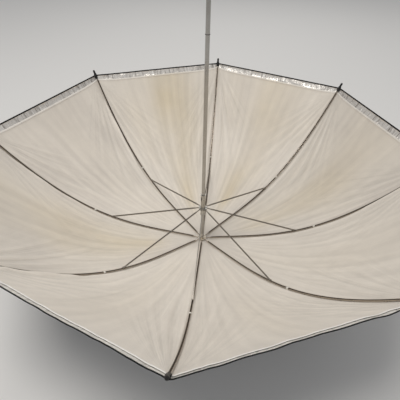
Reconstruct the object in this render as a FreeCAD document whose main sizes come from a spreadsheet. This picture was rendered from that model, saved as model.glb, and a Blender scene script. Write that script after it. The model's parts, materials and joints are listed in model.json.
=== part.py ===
"""Umbrella reflector: a folding eight-rib frame on an 8 mm shaft, with a white
reflecting canopy and a black cover behind it.

Frame of the model: millimetres, +Z along the shaft towards its handle end, the
origin on the shaft's axis at the tip of the ferrule. Rib 1 lies along +X and
the others follow every 45 degrees towards +Y. The umbrella is modelled open.
"""
import FreeCAD, Part
import math
import os
import Sketcher
from FreeCAD import Placement, Rotation, Vector

doc = FreeCAD.newDocument("umbrella_reflector")

# ---------------------------------------------------------------- dimensions
sheet = doc.addObject("Spreadsheet::Sheet", "dimensions")
TABLE = [
    ("hub_height", 45.0, "hub pivot plane above the ferrule tip"),
    ("tip_radius", 477.0, "rib tip from the shaft axis, open"),
    ("pivot_radius", 8.0, "hub and runner pivots from the shaft axis"),
    ("rivet_radius", 222.0, "strut rivet from the shaft axis, open"),
    ("rivet_height", 50.0, "strut rivet above the hub pivot plane, open"),
    ("flex_radius", 235.0, "where the rib's bending is gathered, open"),
    ("curve_first", 0.22601522, "rib curve, first coefficient"),
    ("curve_second", -0.50692905, "rib curve, second coefficient"),
    ("curve_third", 1.24672091, "rib curve, third coefficient"),
    ("curve_fourth", -0.3942083, "rib curve, fourth coefficient"),
    ("shaft_radius", 4.0, "shaft tube outside"),
    ("shaft_wall", 0.8, "shaft tube wall"),
    ("shaft_foot", 15.0, "lower end of the tube"),
    ("shaft_end", 733.0, "upper end of the tube"),
    ("clip_height", 536.0, "middle of the stop ring's groove"),
    ("clip_groove_depth", 0.4, "stop ring groove depth"),
    ("clip_groove_width", 0.9, "stop ring groove width"),
    ("clip_radius", 4.6, "stop ring outside"),
    ("clip_thickness", 0.8, "stop ring thickness"),
    ("slip_gap", 0.02, "gap of parts seated on the shaft"),
    ("slide_gap", 0.15, "gap of the runner on the shaft"),
    ("ferrule_radius", 5.5, "ferrule body"),
    ("ferrule_nose", 2.4, "ferrule tip"),
    ("ferrule_taper", 11.0, "length of the ferrule's tapered nose"),
    ("ferrule_length", 39.2, "ferrule length"),
    ("washer_height", 39.4, "underside of the crown washer"),
    ("washer_radius", 10.0, "crown washer outside"),
    ("washer_thickness", 0.8, "crown washer thickness"),
    ("collar_radius", 6.0, "top notch collar"),
    ("collar_below", 2.6, "top notch collar below the pivots"),
    ("collar_above", 5.0, "top notch collar above the pivots"),
    ("flange_radius", 10.0, "slotted flange of hub and runner"),
    ("flange_half", 1.6, "half thickness of that flange"),
    ("flange_groove", 7.3, "bottom radius of the wire groove"),
    ("groove_half", 0.7, "half width of the wire groove"),
    ("flange_slot", 1.6, "slot for one rib or strut tongue"),
    ("slot_bottom", 6.2, "slot depth, from the shaft axis"),
    ("wire_radius", 0.6, "pivot wire, half thickness"),
    ("runner_radius", 5.6, "runner tube outside"),
    ("runner_bead", 6.1, "runner end beads"),
    ("bead_length", 2.0, "runner end bead length"),
    ("runner_below", 20.0, "runner below its pivots"),
    ("runner_above", 40.0, "runner above its pivots"),
    ("window_low", 23.3, "catch window, lower edge above the pivots"),
    ("window_high", 34.0, "catch window, upper edge above the pivots"),
    ("window_width", 2.6, "catch window width"),
    ("catch_azimuth", -135.0, "which way the catch faces, degrees"),
    ("catch_pin_height", 149.0, "catch pin above the ferrule tip"),
    ("catch_pin_offset", 1.6, "catch pin from the shaft axis"),
    ("catch_pin_radius", 0.6, "catch pin"),
    ("catch_pin_half", 3.3, "half length of the catch pin"),
    ("catch_width", 1.4, "catch leaf width"),
    ("catch_slot", 1.9, "slot in the shaft for the catch"),
    ("rib_width", 3.6, "rib channel width"),
    ("rib_depth", 2.4, "rib channel depth"),
    ("rib_wall", 0.4, "rib channel wall"),
    ("tongue_width", 1.2, "tongue of a rib or strut in its slot"),
    ("tongue_length", 12.0, "length of that tongue"),
    ("eye_radius", 0.7, "eye on the pivot wire"),
    ("boss_radius", 1.6, "rounded end of the tongue"),
    ("strut_width", 2.4, "strut width"),
    ("strut_height", 2.4, "strut height"),
    ("strut_groove", 1.4, "groove along the strut"),
    ("rivet_shank", 0.9, "strut rivet shank"),
    ("rivet_head", 1.5, "strut rivet head"),
    ("head_thickness", 0.5, "strut rivet head thickness"),
    ("rivet_hole", 0.92, "hole in the rib's ears"),
    ("strut_hole", 0.95, "rivet hole in the strut"),
    ("pin_radius", 1.3, "rounded end of the rib inside its tip"),
    ("cap_radius", 2.75, "rib tip outside"),
    ("cap_length", 24.0, "rib tip length"),
    ("cap_bore", 1.35, "rib tip bore"),
    ("cap_bore_depth", 14.0, "rib tip bore depth"),
    ("canopy_offset", 3.0, "canopy behind the rib's middle line"),
    ("cover_offset", 3.8, "cover behind the rib's middle line"),
    ("cloth_thickness", 0.4, "canopy and cover thickness"),
    ("hem_setback", 17.0, "canopy hem short of the cover's hem"),
    ("crown_radius", 6.2, "corner radius of the crown hole"),
]
for number, (alias, value, note) in enumerate(TABLE, start=1):
    sheet.set("A%d" % number, note)
    sheet.set("B%d" % number, str(value))
    sheet.setAlias("B%d" % number, alias)
doc.recompute()


class Size:
    """A length from the sheet, or an arithmetic mix of them, which keeps its expression."""

    def __init__(self, value, text):
        self.value = value
        self.text = text

    def __add__(self, other):
        other = size(other)
        return Size(self.value + other.value, "%s + %s" % (self.text, other.text))

    def __sub__(self, other):
        other = size(other)
        return Size(self.value - other.value, "%s - (%s)" % (self.text, other.text))

    def __mul__(self, number):
        return Size(self.value * number, "(%s) * %s" % (self.text, repr(float(number))))


def size(of):
    if isinstance(of, Size):
        return of
    if isinstance(of, str):
        return Size(float(sheet.get(of)), "dimensions." + of)
    return Size(float(of), repr(float(of)))


def mm(alias):
    return size(alias).value


RIBS = 8
HUB = mm("hub_height")
TIP = mm("tip_radius")
COEFFICIENTS = [mm("curve_first"), mm("curve_second"), mm("curve_third"), mm("curve_fourth")]
strut_length = Size(
    math.hypot(mm("rivet_radius") - mm("pivot_radius"), mm("rivet_height")),
    "sqrt((dimensions.rivet_radius - dimensions.pivot_radius)^2 + dimensions.rivet_height^2)",
)
runner_height = size("hub_height") + size("rivet_height") * 2


# ------------------------------------------------------------------- helpers
def bind(thing, **sizes):
    for name, of in sizes.items():
        setattr(thing, name, size(of).value)
        thing.setExpression(name, size(of).text)
    return thing


def lift(thing, x=None, y=None, z=None):
    """Bind the position of a primitive."""
    for axis, of in (("x", x), ("y", y), ("z", z)):
        if of is not None:
            thing.setExpression("Placement.Base." + axis, size(of).text)
            base = thing.Placement.Base
            setattr(base, axis, size(of).value)
            thing.Placement = Placement(base, thing.Placement.Rotation)
    return thing


def add(kind, name, **sizes):
    return bind(doc.addObject("Part::" + kind, name), **sizes)


def cylinder(name, radius, height, turn=None):
    made = add("Cylinder", name, Radius=radius, Height=height)
    if turn is not None:
        made.Placement = Placement(Vector(0, 0, 0), turn)
    return made


def cut(name, base, tool):
    made = doc.addObject("Part::Cut", name)
    made.Base, made.Tool = base, tool
    return made


def fuse(name, shapes):
    made = doc.addObject("Part::MultiFuse", name)
    made.Shapes = shapes
    made.Refine = True
    return made


def plane(body, role):
    return [f for f in body.Origin.OriginFeatures if f.Role == role][0]


def corner_sketch(body, name, role, corners):
    """A closed polygon on one of the body's own planes, each corner bound to the sheet."""
    sketch = body.newObject("Sketcher::SketchObject", name)
    sketch.AttachmentSupport = (plane(body, role), [""])
    sketch.MapMode = "FlatFace"
    points = [(size(x), size(y)) for x, y in corners]
    count = len(points)
    for i in range(count):
        a, b = points[i], points[(i + 1) % count]
        sketch.addGeometry(Part.LineSegment(Vector(a[0].value, a[1].value, 0), Vector(b[0].value, b[1].value, 0)), False)
    for i in range(count):
        sketch.addConstraint(Sketcher.Constraint("Coincident", i, 2, (i + 1) % count, 1))
    for i, (x, y) in enumerate(points):
        for kind, axis, of in (("DistanceX", -2, x), ("DistanceY", -1, y)):
            if of.value == 0.0:
                sketch.addConstraint(Sketcher.Constraint("PointOnObject", i, 1, axis))
            else:
                at = sketch.addConstraint(Sketcher.Constraint(kind, -1, 1, i, 1, of.value))
                sketch.setExpression("Constraints[%d]" % at, of.text)
    return sketch


def revolve(body, sketch, name):
    made = body.newObject("PartDesign::Revolution", name)
    made.Profile = sketch
    made.ReferenceAxis = (sketch, ["V_Axis"])
    made.Angle = 360.0
    made.Reversed = False
    return made


def new_body(name):
    body = doc.addObject("PartDesign::Body", name)
    body.Label = name
    return body


def pocket_both_ways(body, sketch, name):
    made = body.newObject("PartDesign::Pocket", name)
    made.Profile = sketch
    made.Type = "ThroughAll"
    made.Midplane = True
    return made


def around(k):
    """The turn about the shaft that brings rib 1's place to rib k's."""
    return Rotation(Vector(0, 0, 1), 360.0 * (k - 1) / RIBS)


nodes = []


def keep(thing, label, where=None):
    thing.Label = label
    if where is not None:
        thing.Placement = where
    nodes.append(thing)
    return thing


def keep_shape(shape, label, where=None):
    """A sub-part whose form is a fitted curve, built with Part's own functions."""
    made = doc.addObject("Part::Feature", label)
    made.Shape = shape
    made.Placement = where or Placement()
    return keep(made, label)


# ------------------------------------------------------- the rib's open curve
def height(r):
    """Height of the rib's middle line above the hub pivots, at radius r."""
    def polynomial(x):
        return sum(c * x ** (i + 1) for i, c in enumerate(COEFFICIENTS))
    return TIP * (polynomial(r / TIP) - polynomial(mm("pivot_radius") / TIP))


def slope(r):
    x = r / TIP
    return sum((i + 1) * c * x ** i for i, c in enumerate(COEFFICIENTS))


def place_on_rib(r, d):
    """The point at distance d from the middle line, d growing towards the shaft side."""
    m = slope(r)
    n = math.hypot(1.0, m)
    return Vector(r - d * m / n, 0.0, height(r) + d / n)


def back_along(r, length):
    """The radius a given arc length further in."""
    steps = 2000
    for _ in range(steps):
        r -= length / steps / math.hypot(1.0, slope(r))
    return r


def offset_edge(r0, r1, d, count=None):
    count = count or max(8, int(abs(r1 - r0) / 14.0))
    points = [place_on_rib(r0 + (r1 - r0) * i / count, d) for i in range(count + 1)]
    curve = Part.BSplineCurve()
    curve.interpolate(points)
    return curve.toShape()


def band(r0, r1, low, high, y0, y1):
    """A strip along the rib between two distances from its middle line, y0 to y1 wide."""
    bottom = offset_edge(r0, r1, low)
    top = offset_edge(r0, r1, high)
    ends = [Part.makeLine(bottom.Vertexes[0].Point, top.Vertexes[0].Point),
            Part.makeLine(bottom.Vertexes[-1].Point, top.Vertexes[-1].Point)]
    wire = Part.Wire(Part.__sortEdges__([bottom, ends[1], top, ends[0]]))
    face = Part.Face(wire)
    face.translate(Vector(0, y0, 0))
    return face.extrude(Vector(0, y1 - y0, 0))


def pin_across(x, z, radius, y0, y1):
    return Part.makeCylinder(radius, y1 - y0, Vector(x, y0, z), Vector(0, 1, 0))


def plate(corners, y0, y1):
    points = [Vector(x, y0, z) for x, z in corners]
    return Part.Face(Part.makePolygon(points + points[:1])).extrude(Vector(0, y1 - y0, 0))


HALF_WIDTH = mm("rib_width") / 2.0
HALF_DEPTH = mm("rib_depth") / 2.0
WALL = mm("rib_wall")
START = mm("pivot_radius") + mm("tongue_length")
FLEX = mm("flex_radius")
CHANNEL_END = back_along(TIP, mm("cap_length") / 2.0 + 0.5)
CANOPY_HEM = back_along(TIP, mm("hem_setback"))


def channel(r0, r1):
    """A U of strip steel, open towards the shaft."""
    outer = band(r0, r1, -HALF_DEPTH, HALF_DEPTH, -HALF_WIDTH, HALF_WIDTH)
    hollow = band(r0 - 0.2, r1 + 0.2, -HALF_DEPTH + WALL, HALF_DEPTH + 0.5, -HALF_WIDTH + WALL, HALF_WIDTH - WALL)
    return outer.cut(hollow)


def rib_inner_shape():
    tongue = mm("tongue_width") / 2.0
    body = channel(START, FLEX)
    web = band(START, START + 3.0, -HALF_DEPTH, HALF_DEPTH, -HALF_WIDTH, HALF_WIDTH)
    blade = band(mm("pivot_radius") + 0.3, START + 2.0, -HALF_DEPTH + 0.2, HALF_DEPTH - 0.2, -tongue, tongue)
    boss = pin_across(mm("pivot_radius"), 0.0, mm("boss_radius"), -tongue, tongue)
    made = body.fuse([web, blade, boss])
    # ears that stand up from the channel's walls and carry the strut's rivet
    x, z = mm("rivet_radius"), mm("rivet_height")
    foot_in, foot_out = place_on_rib(x - 3.2, HALF_DEPTH - 0.9), place_on_rib(x + 5.2, HALF_DEPTH - 0.9)
    ears = []
    for y0, y1 in ((-HALF_WIDTH, -HALF_WIDTH + WALL), (HALF_WIDTH - WALL, HALF_WIDTH)):
        ears.append(pin_across(x, z, 1.7, y0, y1))
        ears.append(plate([(foot_in.x, foot_in.z), (foot_out.x, foot_out.z), (x + 1.5, z + 0.8), (x - 1.62, z + 0.5)], y0, y1))
    made = made.fuse(ears)
    made = made.cut(pin_across(x, z, mm("rivet_hole"), -9.0, 9.0))
    made = made.cut(pin_across(mm("pivot_radius"), 0.0, mm("eye_radius"), -9.0, 9.0))
    return made.removeSplitter()


def tip_direction():
    m = slope(TIP)
    n = math.hypot(1.0, m)
    return Vector(1.0 / n, 0.0, m / n)


TIP_POINT = Vector(TIP, 0.0, height(TIP))


def rib_outer_shape():
    along = tip_direction()
    body = channel(FLEX, CHANNEL_END)
    stop = back_along(TIP, mm("cap_length") / 2.0 + 3.0)
    block = band(stop, CHANNEL_END, -HALF_DEPTH, HALF_DEPTH, -HALF_WIDTH, HALF_WIDTH)
    start = TIP_POINT - along * (mm("cap_length") / 2.0 + 2.0)
    pin = Part.makeCylinder(mm("pin_radius"), 2.0 + mm("cap_bore_depth") - 1.0, start, along)
    return body.fuse([block, pin]).removeSplitter()


# ------------------------------------------------------------ shaft and fittings
tube = cylinder("shaft_outside", "shaft_radius", size("shaft_end") - "shaft_foot")
bore = cylinder("shaft_inside", size("shaft_radius") - "shaft_wall", size("shaft_end") - "shaft_foot" + 2.0)
bore.Placement = Placement(Vector(0, 0, -1), Rotation())
groove_outside = cylinder("clip_groove_outside", size("shaft_radius") + 2.0, "clip_groove_width")
groove_core = cylinder("clip_groove_core", size("shaft_radius") - "clip_groove_depth", size("clip_groove_width") + 2.0)
groove_core.Placement = Placement(Vector(0, 0, -1), Rotation())
groove = lift(cut("clip_groove", groove_outside, groove_core),
              z=size("clip_height") - "shaft_foot" - size("clip_groove_width") * 0.5)
pin_hole = cylinder("catch_pin_hole", size("catch_pin_radius") + "slip_gap", 20.0, Rotation(Vector(1, 0, 0), -90))
lift(pin_hole, x="catch_pin_offset", y=-10.0, z=size("catch_pin_height") - "shaft_foot")
catch_opening = add("Box", "catch_opening", Length=6.0, Width="catch_slot", Height=14.0)
lift(catch_opening, x=0.5, y=size("catch_slot") * -0.5, z=runner_height - "shaft_foot" + 22.0)
shaft_tools = fuse("shaft_tools", [bore, groove, pin_hole, catch_opening])
shaft = cut("shaft_tube", tube, shaft_tools)
facing = Rotation(Vector(0, 0, 1), mm("catch_azimuth"))
keep(shaft, "shaft_tube", Placement(Vector(0, 0, mm("shaft_foot")), facing))

catch_pin = cylinder("catch_pin", "catch_pin_radius", size("catch_pin_half") * 2.0)
pin_at = facing.multVec(Vector(mm("catch_pin_offset"), -mm("catch_pin_half"), 0))
keep(catch_pin, "catch_pin", Placement(Vector(pin_at.x, pin_at.y, mm("catch_pin_height")),
                                       facing.multiply(Rotation(Vector(1, 0, 0), -90))))

# The catch: a leaf on the pin, whose nose stands out through the shaft and the runner's window.
catch = new_body("catch_spring")
leaf_corners = [(0.0, 0.0), (2.6, 0.0), (2.6, 20.0), (4.6, 21.3), (4.6, 23.6), (3.2, 28.5), (1.4, 28.5), (1.4, 18.0), (0.0, 4.0)]
leaf = corner_sketch(catch, "catch_outline", "XZ_Plane", [(x + 2.0, z + 2.0) for x, z in leaf_corners])
leaf_pad = catch.newObject("PartDesign::Pad", "catch_leaf")
leaf_pad.Profile = leaf
leaf_pad.Midplane = True
bind(leaf_pad, Length="catch_width")
eye = catch.newObject("Sketcher::SketchObject", "catch_eye")
eye.AttachmentSupport = (plane(catch, "XZ_Plane"), [""])
eye.MapMode = "FlatFace"
eye.addGeometry(Part.Circle(Vector(3.3, 3.3, 0), Vector(0, 0, 1), mm("catch_pin_radius") + 0.05), False)
for kind, of in (("DistanceX", size(3.3)), ("DistanceY", size(3.3))):
    eye.addConstraint(Sketcher.Constraint(kind, -1, 1, 0, 3, of.value))
at = eye.addConstraint(Sketcher.Constraint("Radius", 0, mm("catch_pin_radius") + 0.05))
eye.setExpression("Constraints[%d]" % at, "dimensions.catch_pin_radius + 0.05")
pocket_both_ways(catch, eye, "catch_eye_hole")
catch_at = facing.multVec(Vector(mm("catch_pin_offset") - 3.3, 0, 0))
keep(catch, "catch_spring", Placement(Vector(catch_at.x, catch_at.y, mm("catch_pin_height") - 3.3), facing))

ferrule = new_body("ferrule")
inner = size("shaft_radius") + "slip_gap"
outline = corner_sketch(ferrule, "ferrule_half", "XZ_Plane", [
    (0, 0), ("ferrule_nose", 0), (size("ferrule_nose") + 1.1, 1.3), ("ferrule_radius", "ferrule_taper"),
    ("ferrule_radius", size("ferrule_length") - 0.8), (size("ferrule_radius") - 0.8, "ferrule_length"),
    (inner, "ferrule_length"), (inner, size("shaft_foot") - 0.1), (0, size("shaft_foot") - 0.1)])
revolve(ferrule, outline, "ferrule_turned")
keep(ferrule, "ferrule", Placement())

washer = new_body("crown_washer")
outline = corner_sketch(washer, "washer_half", "XZ_Plane", [
    (size("shaft_radius") + 0.1, 0), (size("washer_radius") - 0.3, 0), ("washer_radius", 0.3),
    ("washer_radius", "washer_thickness"), (size("shaft_radius") + 0.1, "washer_thickness")])
revolve(washer, outline, "washer_turned")
keep(washer, "crown_washer", Placement(Vector(0, 0, mm("washer_height")), Rotation()))

clip = new_body("runner_stop_ring")
clip_inner = size("shaft_radius") - "clip_groove_depth" + "slip_gap"
outline = corner_sketch(clip, "clip_half", "XZ_Plane", [
    (clip_inner, 0), ("clip_radius", 0), ("clip_radius", "clip_thickness"), (clip_inner, "clip_thickness")])
revolve(clip, outline, "clip_turned")
opening = corner_sketch(clip, "clip_opening", "XY_Plane", [
    (0, 1.0), (9.0, 1.0), (9.0, 4.0), (0, 4.0)])
pocket_both_ways(clip, opening, "clip_gap")
keep(clip, "runner_stop_ring", Placement(Vector(0, 0, mm("clip_height") - mm("clip_thickness") / 2.0), Rotation()))

plug = new_body("shaft_end_cap")
plug_radius = size("shaft_radius") - "shaft_wall" - 0.05
outline = corner_sketch(plug, "plug_half", "XZ_Plane", [
    (0, 0), (plug_radius - 0.5, 0), (plug_radius, 0.8), (plug_radius, 8.05), (size("shaft_radius") - 0.4, 8.05),
    (size("shaft_radius") - 0.4, 9.2), (size("shaft_radius") - 1.1, 10.0), (0, 10.0)])
revolve(plug, outline, "plug_turned")
keep(plug, "shaft_end_cap", Placement(Vector(0, 0, mm("shaft_end") - 8.0), Rotation()))


# ---------------------------------------------------- slotted hub and runner
def slotted(name, outline_corners, flange_low):
    """A turned body whose flange has one slot for each tongue and a groove for the wire."""
    body = new_body(name)
    turned = revolve(body, corner_sketch(body, name + "_half", "XZ_Plane", outline_corners), name + "_turned")
    doc.recompute()
    whole = body.Shape.Volume
    slot = corner_sketch(body, name + "_slot", "XY_Plane", [
        ("slot_bottom", 20.0 + 0), (30.0, 20.0), (30.0, size("flange_slot") + 20.0), ("slot_bottom", size("flange_slot") + 20.0)])
    slot.AttachmentOffset = Placement(Vector(0, -20.0 - mm("flange_slot") / 2.0, flange_low.value), Rotation())
    slot.setExpression("AttachmentOffset.Base.y", "-20 - dimensions.flange_slot / 2")
    slot.setExpression("AttachmentOffset.Base.z", flange_low.text)
    one = body.newObject("PartDesign::Pocket", name + "_first_slot")
    one.Profile = slot
    one.Type = "Length"
    one.Reversed = True
    bind(one, Length=size("flange_half") * 2.0 + 0.4)
    doc.recompute()
    if not body.Shape.Volume < whole - 1.0:
        raise RuntimeError(name + ": the slot cut nothing")
    ring = body.newObject("PartDesign::PolarPattern", name + "_slots")
    ring.Originals = [one]
    ring.Axis = (slot, ["N_Axis"])
    ring.Angle = 360.0
    ring.Occurrences = RIBS
    ring.Axis = ([f for f in body.Origin.OriginFeatures if f.Role == "Z_Axis"][0], [""])
    body.Tip = ring
    doc.recompute()
    return body


bore_radius = size("shaft_radius") + "slip_gap"
mid = size("collar_below")
top_notch = slotted("top_notch", [
    (bore_radius, 0), (size("collar_radius") - 0.4, 0), ("collar_radius", 0.4), ("collar_radius", mid - "flange_half"),
    ("flange_radius", mid - "flange_half"), ("flange_radius", mid - "groove_half"), ("flange_groove", mid - "groove_half"),
    ("flange_groove", mid + "groove_half"), ("flange_radius", mid + "groove_half"), ("flange_radius", mid + "flange_half"),
    ("collar_radius", mid + "flange_half"), ("collar_radius", mid + "collar_above" - 0.6),
    (size("collar_radius") - 0.6, mid + "collar_above"), (bore_radius, mid + "collar_above")],
    mid - "flange_half" - 0.2)
keep(top_notch, "top_notch", Placement(Vector(0, 0, HUB - mm("collar_below")), Rotation()))

slide_radius = size("shaft_radius") + "slide_gap"
mid = size("runner_below")
length = mid + "runner_above"
runner = slotted("runner", [
    (slide_radius, 0), ("runner_bead", 0), ("runner_bead", "bead_length"), ("runner_radius", size("bead_length") + 0.6),
    ("runner_radius", mid - "flange_half" - 0.3), (size("runner_radius") + 0.3, mid - "flange_half"),
    ("flange_radius", mid - "flange_half"), ("flange_radius", mid - "groove_half"), ("flange_groove", mid - "groove_half"),
    ("flange_groove", mid + "groove_half"), ("flange_radius", mid + "groove_half"), ("flange_radius", mid + "flange_half"),
    (size("runner_radius") + 0.3, mid + "flange_half"), ("runner_radius", mid + "flange_half" + 0.3),
    ("runner_radius", length - "bead_length" - 0.6), ("runner_bead", length - "bead_length"),
    ("runner_bead", length), (slide_radius, length)],
    mid - "flange_half" - 0.2)
window = corner_sketch(runner, "catch_window", "YZ_Plane", [
    (20.0, mid + "window_low"), (size("window_width") + 20.0, mid + "window_low"),
    (size("window_width") + 20.0, mid + "window_high"), (20.0, mid + "window_high")])
window.AttachmentOffset = Placement(Vector(-20.0 - mm("window_width") / 2.0, 0, 0), Rotation())
window.setExpression("AttachmentOffset.Base.x", "-20 - dimensions.window_width / 2")
before = runner.Shape.Volume
opening = runner.newObject("PartDesign::Pocket", "catch_window_cut")
opening.Profile = window
opening.Type = "Length"
opening.Length = 12.0
opening.Reversed = True
doc.recompute()
# the window belongs on the +X side only, and is then turned to the way the catch faces
removed = before - runner.Shape.Volume
if not 20.0 < removed < 120.0:
    raise RuntimeError("the catch window removed %.1f mm3" % removed)
runner.Tip = opening
# the flange's slots repeat every 45 degrees, so turning the runner to the catch keeps them under the struts
keep(runner, "runner", Placement(Vector(0, 0, runner_height.value - mm("runner_below")), facing))

for label, z in (("notch_wire", HUB), ("runner_wire", runner_height.value)):
    ring = add("Torus", label + "_ring", Radius1="pivot_radius", Radius2="wire_radius")
    keep(ring, label, Placement(Vector(0, 0, z), Rotation()))

# -------------------------------------------------------------------- struts
strut_turn = Rotation(Vector(0, 1, 0), math.degrees(math.atan2(mm("rivet_height"), mm("rivet_radius") - mm("pivot_radius"))))


def strut(k):
    """Built along +X, from the runner's wire at the origin to the rib's rivet."""
    n = "strut_%d_" % k
    across = Rotation(Vector(1, 0, 0), -90)
    bar = add("Box", n + "bar", Length=strut_length - "tongue_length", Width="strut_width", Height="strut_height")
    lift(bar, x="tongue_length", y=size("strut_width") * -0.5, z=size("strut_height") * -0.5)
    tongue = add("Box", n + "tongue", Length="tongue_length", Width="tongue_width", Height="strut_height")
    lift(tongue, x=0.0, y=size("tongue_width") * -0.5, z=size("strut_height") * -0.5)
    inner_boss = lift(cylinder(n + "inner_boss", "boss_radius", "tongue_width", across), y=size("tongue_width") * -0.5)
    outer_boss = lift(cylinder(n + "outer_boss", "boss_radius", "strut_width", across),
                      x=strut_length, y=size("strut_width") * -0.5)
    solid = fuse(n + "solid", [bar, tongue, inner_boss, outer_boss])
    inner_eye = lift(cylinder(n + "inner_eye", "eye_radius", 6.0, across), y=-3.0)
    outer_eye = lift(cylinder(n + "outer_eye", "strut_hole", 6.0, across), x=strut_length, y=-3.0)
    groove = add("Box", n + "groove", Length=strut_length - "tongue_length" - 12.0, Width="strut_groove", Height="strut_height")
    lift(groove, x=size("tongue_length") + 4.0, y=size("strut_groove") * -0.5, z=0.4 - mm("strut_height") / 2.0)
    tools = fuse(n + "tools", [inner_eye, outer_eye, groove])
    made = cut("strut_%d" % k, solid, tools)
    where = around(k).multVec(Vector(mm("pivot_radius"), 0, 0)) + Vector(0, 0, runner_height.value)
    return keep(made, "strut_%d" % k, Placement(where, around(k).multiply(strut_turn)))


def strut_rivet(k):
    n = "strut_rivet_%d_" % k
    across = Rotation(Vector(1, 0, 0), -90)
    reach = size("rib_width") * 0.5 + 0.05
    shank = lift(cylinder(n + "shank", "rivet_shank", reach * 2.0, across), y=reach * -1.0)
    heads = [lift(cylinder(n + side, "rivet_head", "head_thickness", across), y=y)
             for side, y in (("head", reach), ("tail", reach * -1.0 - "head_thickness"))]
    made = fuse("strut_rivet_%d" % k, [shank] + heads)
    where = around(k).multVec(Vector(mm("rivet_radius"), 0, 0)) + Vector(0, 0, HUB + mm("rivet_height"))
    return keep(made, "strut_rivet_%d" % k, Placement(where, around(k)))


def rib_tip(k):
    """A moulded cap, bored from its inner end, with the eye the canopy is sewn through."""
    n = "rib_tip_%d_" % k
    barrel = cylinder(n + "barrel", "cap_radius", size("cap_length") - 2.0)
    nose = add("Cone", n + "nose", Radius1="cap_radius", Radius2=size("cap_radius") - 0.9, Height=2.0)
    lift(nose, z=size("cap_length") - 2.0)
    neck = add("Cone", n + "neck", Radius1=size("cap_radius") - 0.5, Radius2="cap_radius", Height=1.5)
    cap = fuse(n + "cap", [cut(n + "chamfered", barrel, cut(n + "ring", cylinder(n + "ring_outside", size("cap_radius") + 1.0, 1.5), neck)), nose])
    hole = lift(cylinder(n + "bore", "cap_bore", size("cap_bore_depth") + 1.0), z=-1.0)
    sewn = lift(cylinder(n + "eye", 0.6, 12.0, Rotation(Vector(1, 0, 0), -90)), y=-6.0, z=size("cap_bore_depth") + 3.0)
    made = cut("rib_tip_%d" % k, cap, fuse(n + "tools", [hole, sewn]))
    along = tip_direction()
    local = Rotation(Vector(0, 0, 1), along)
    base = TIP_POINT - along * (mm("cap_length") / 2.0) + Vector(0, 0, HUB)
    return keep(made, "rib_tip_%d" % k, Placement(around(k).multVec(base), around(k).multiply(local)))


inner_shape, outer_shape = rib_inner_shape(), rib_outer_shape()
for k in range(1, RIBS + 1):
    where = Placement(Vector(0, 0, HUB), around(k))
    keep_shape(inner_shape, "rib_%d_inner" % k, where)
    keep_shape(outer_shape, "rib_%d_outer" % k, where)
    strut(k)
    strut_rivet(k)
    rib_tip(k)


# -------------------------------------------------------------- canopy, cover
def gored_shell(offset, hem_radius):
    """Eight taut gores: straight from rib to rib, curved along the ribs, with a crown hole."""
    thickness = mm("cloth_thickness")

    def rings(d):
        edge = offset_edge(mm("crown_radius"), hem_radius, -d, 34)
        made = []
        for k in range(1, RIBS + 1):
            one = edge.copy()
            one.rotate(Vector(0, 0, 0), Vector(0, 0, 1), 360.0 * (k - 1) / RIBS)
            made.append(one)
        return made

    near, far = rings(offset), rings(offset + thickness)
    faces = []
    for i in range(RIBS):
        j = (i + 1) % RIBS
        faces.append(Part.makeRuledSurface(near[i], near[j]))
        faces.append(Part.makeRuledSurface(far[i], far[j]))
        for end in (0, -1):
            corners = [near[i].Vertexes[end].Point, near[j].Vertexes[end].Point,
                       far[j].Vertexes[end].Point, far[i].Vertexes[end].Point]
            faces.append(Part.Face(Part.makePolygon(corners + corners[:1])))
    shell = Part.makeShell(faces)
    shell.sewShape()
    solid = Part.Solid(shell)
    if solid.Volume < 0:
        solid.reverse()
    return solid


upright = Placement(Vector(0, 0, HUB), Rotation())
keep_shape(gored_shell(mm("canopy_offset"), CANOPY_HEM), "white_canopy", upright)
keep_shape(gored_shell(mm("cover_offset"), TIP), "backing_cover", upright)

# --------------------------------------------------------------- check, write
doc.recompute()
faults = []
for thing in doc.Objects:
    if "Invalid" in thing.State or "Error" in thing.State:
        faults.append("%s: %s" % (thing.Name, thing.State))
for thing in nodes:
    shape = thing.Shape
    if shape.isNull() or not shape.isValid() or not shape.Solids or shape.Volume <= 0:
        faults.append(thing.Label + ": no valid solid")
if len({thing.Label for thing in nodes}) != len(nodes):
    faults.append("two sub-parts share a label")
if faults:
    raise RuntimeError("; ".join(faults))
os.makedirs("parts", exist_ok=True)
for thing in nodes:
    thing.Shape.exportStep(os.path.join("parts", thing.Label + ".step"))
    print("%-18s solids %d  volume %.1f mm3" % (thing.Label, len(thing.Shape.Solids), thing.Shape.Volume))
print(len(nodes), "sub-parts")
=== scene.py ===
import bpy
import bmesh
import json
import math
import numpy as np
from mathutils import Matrix, Vector

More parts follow.
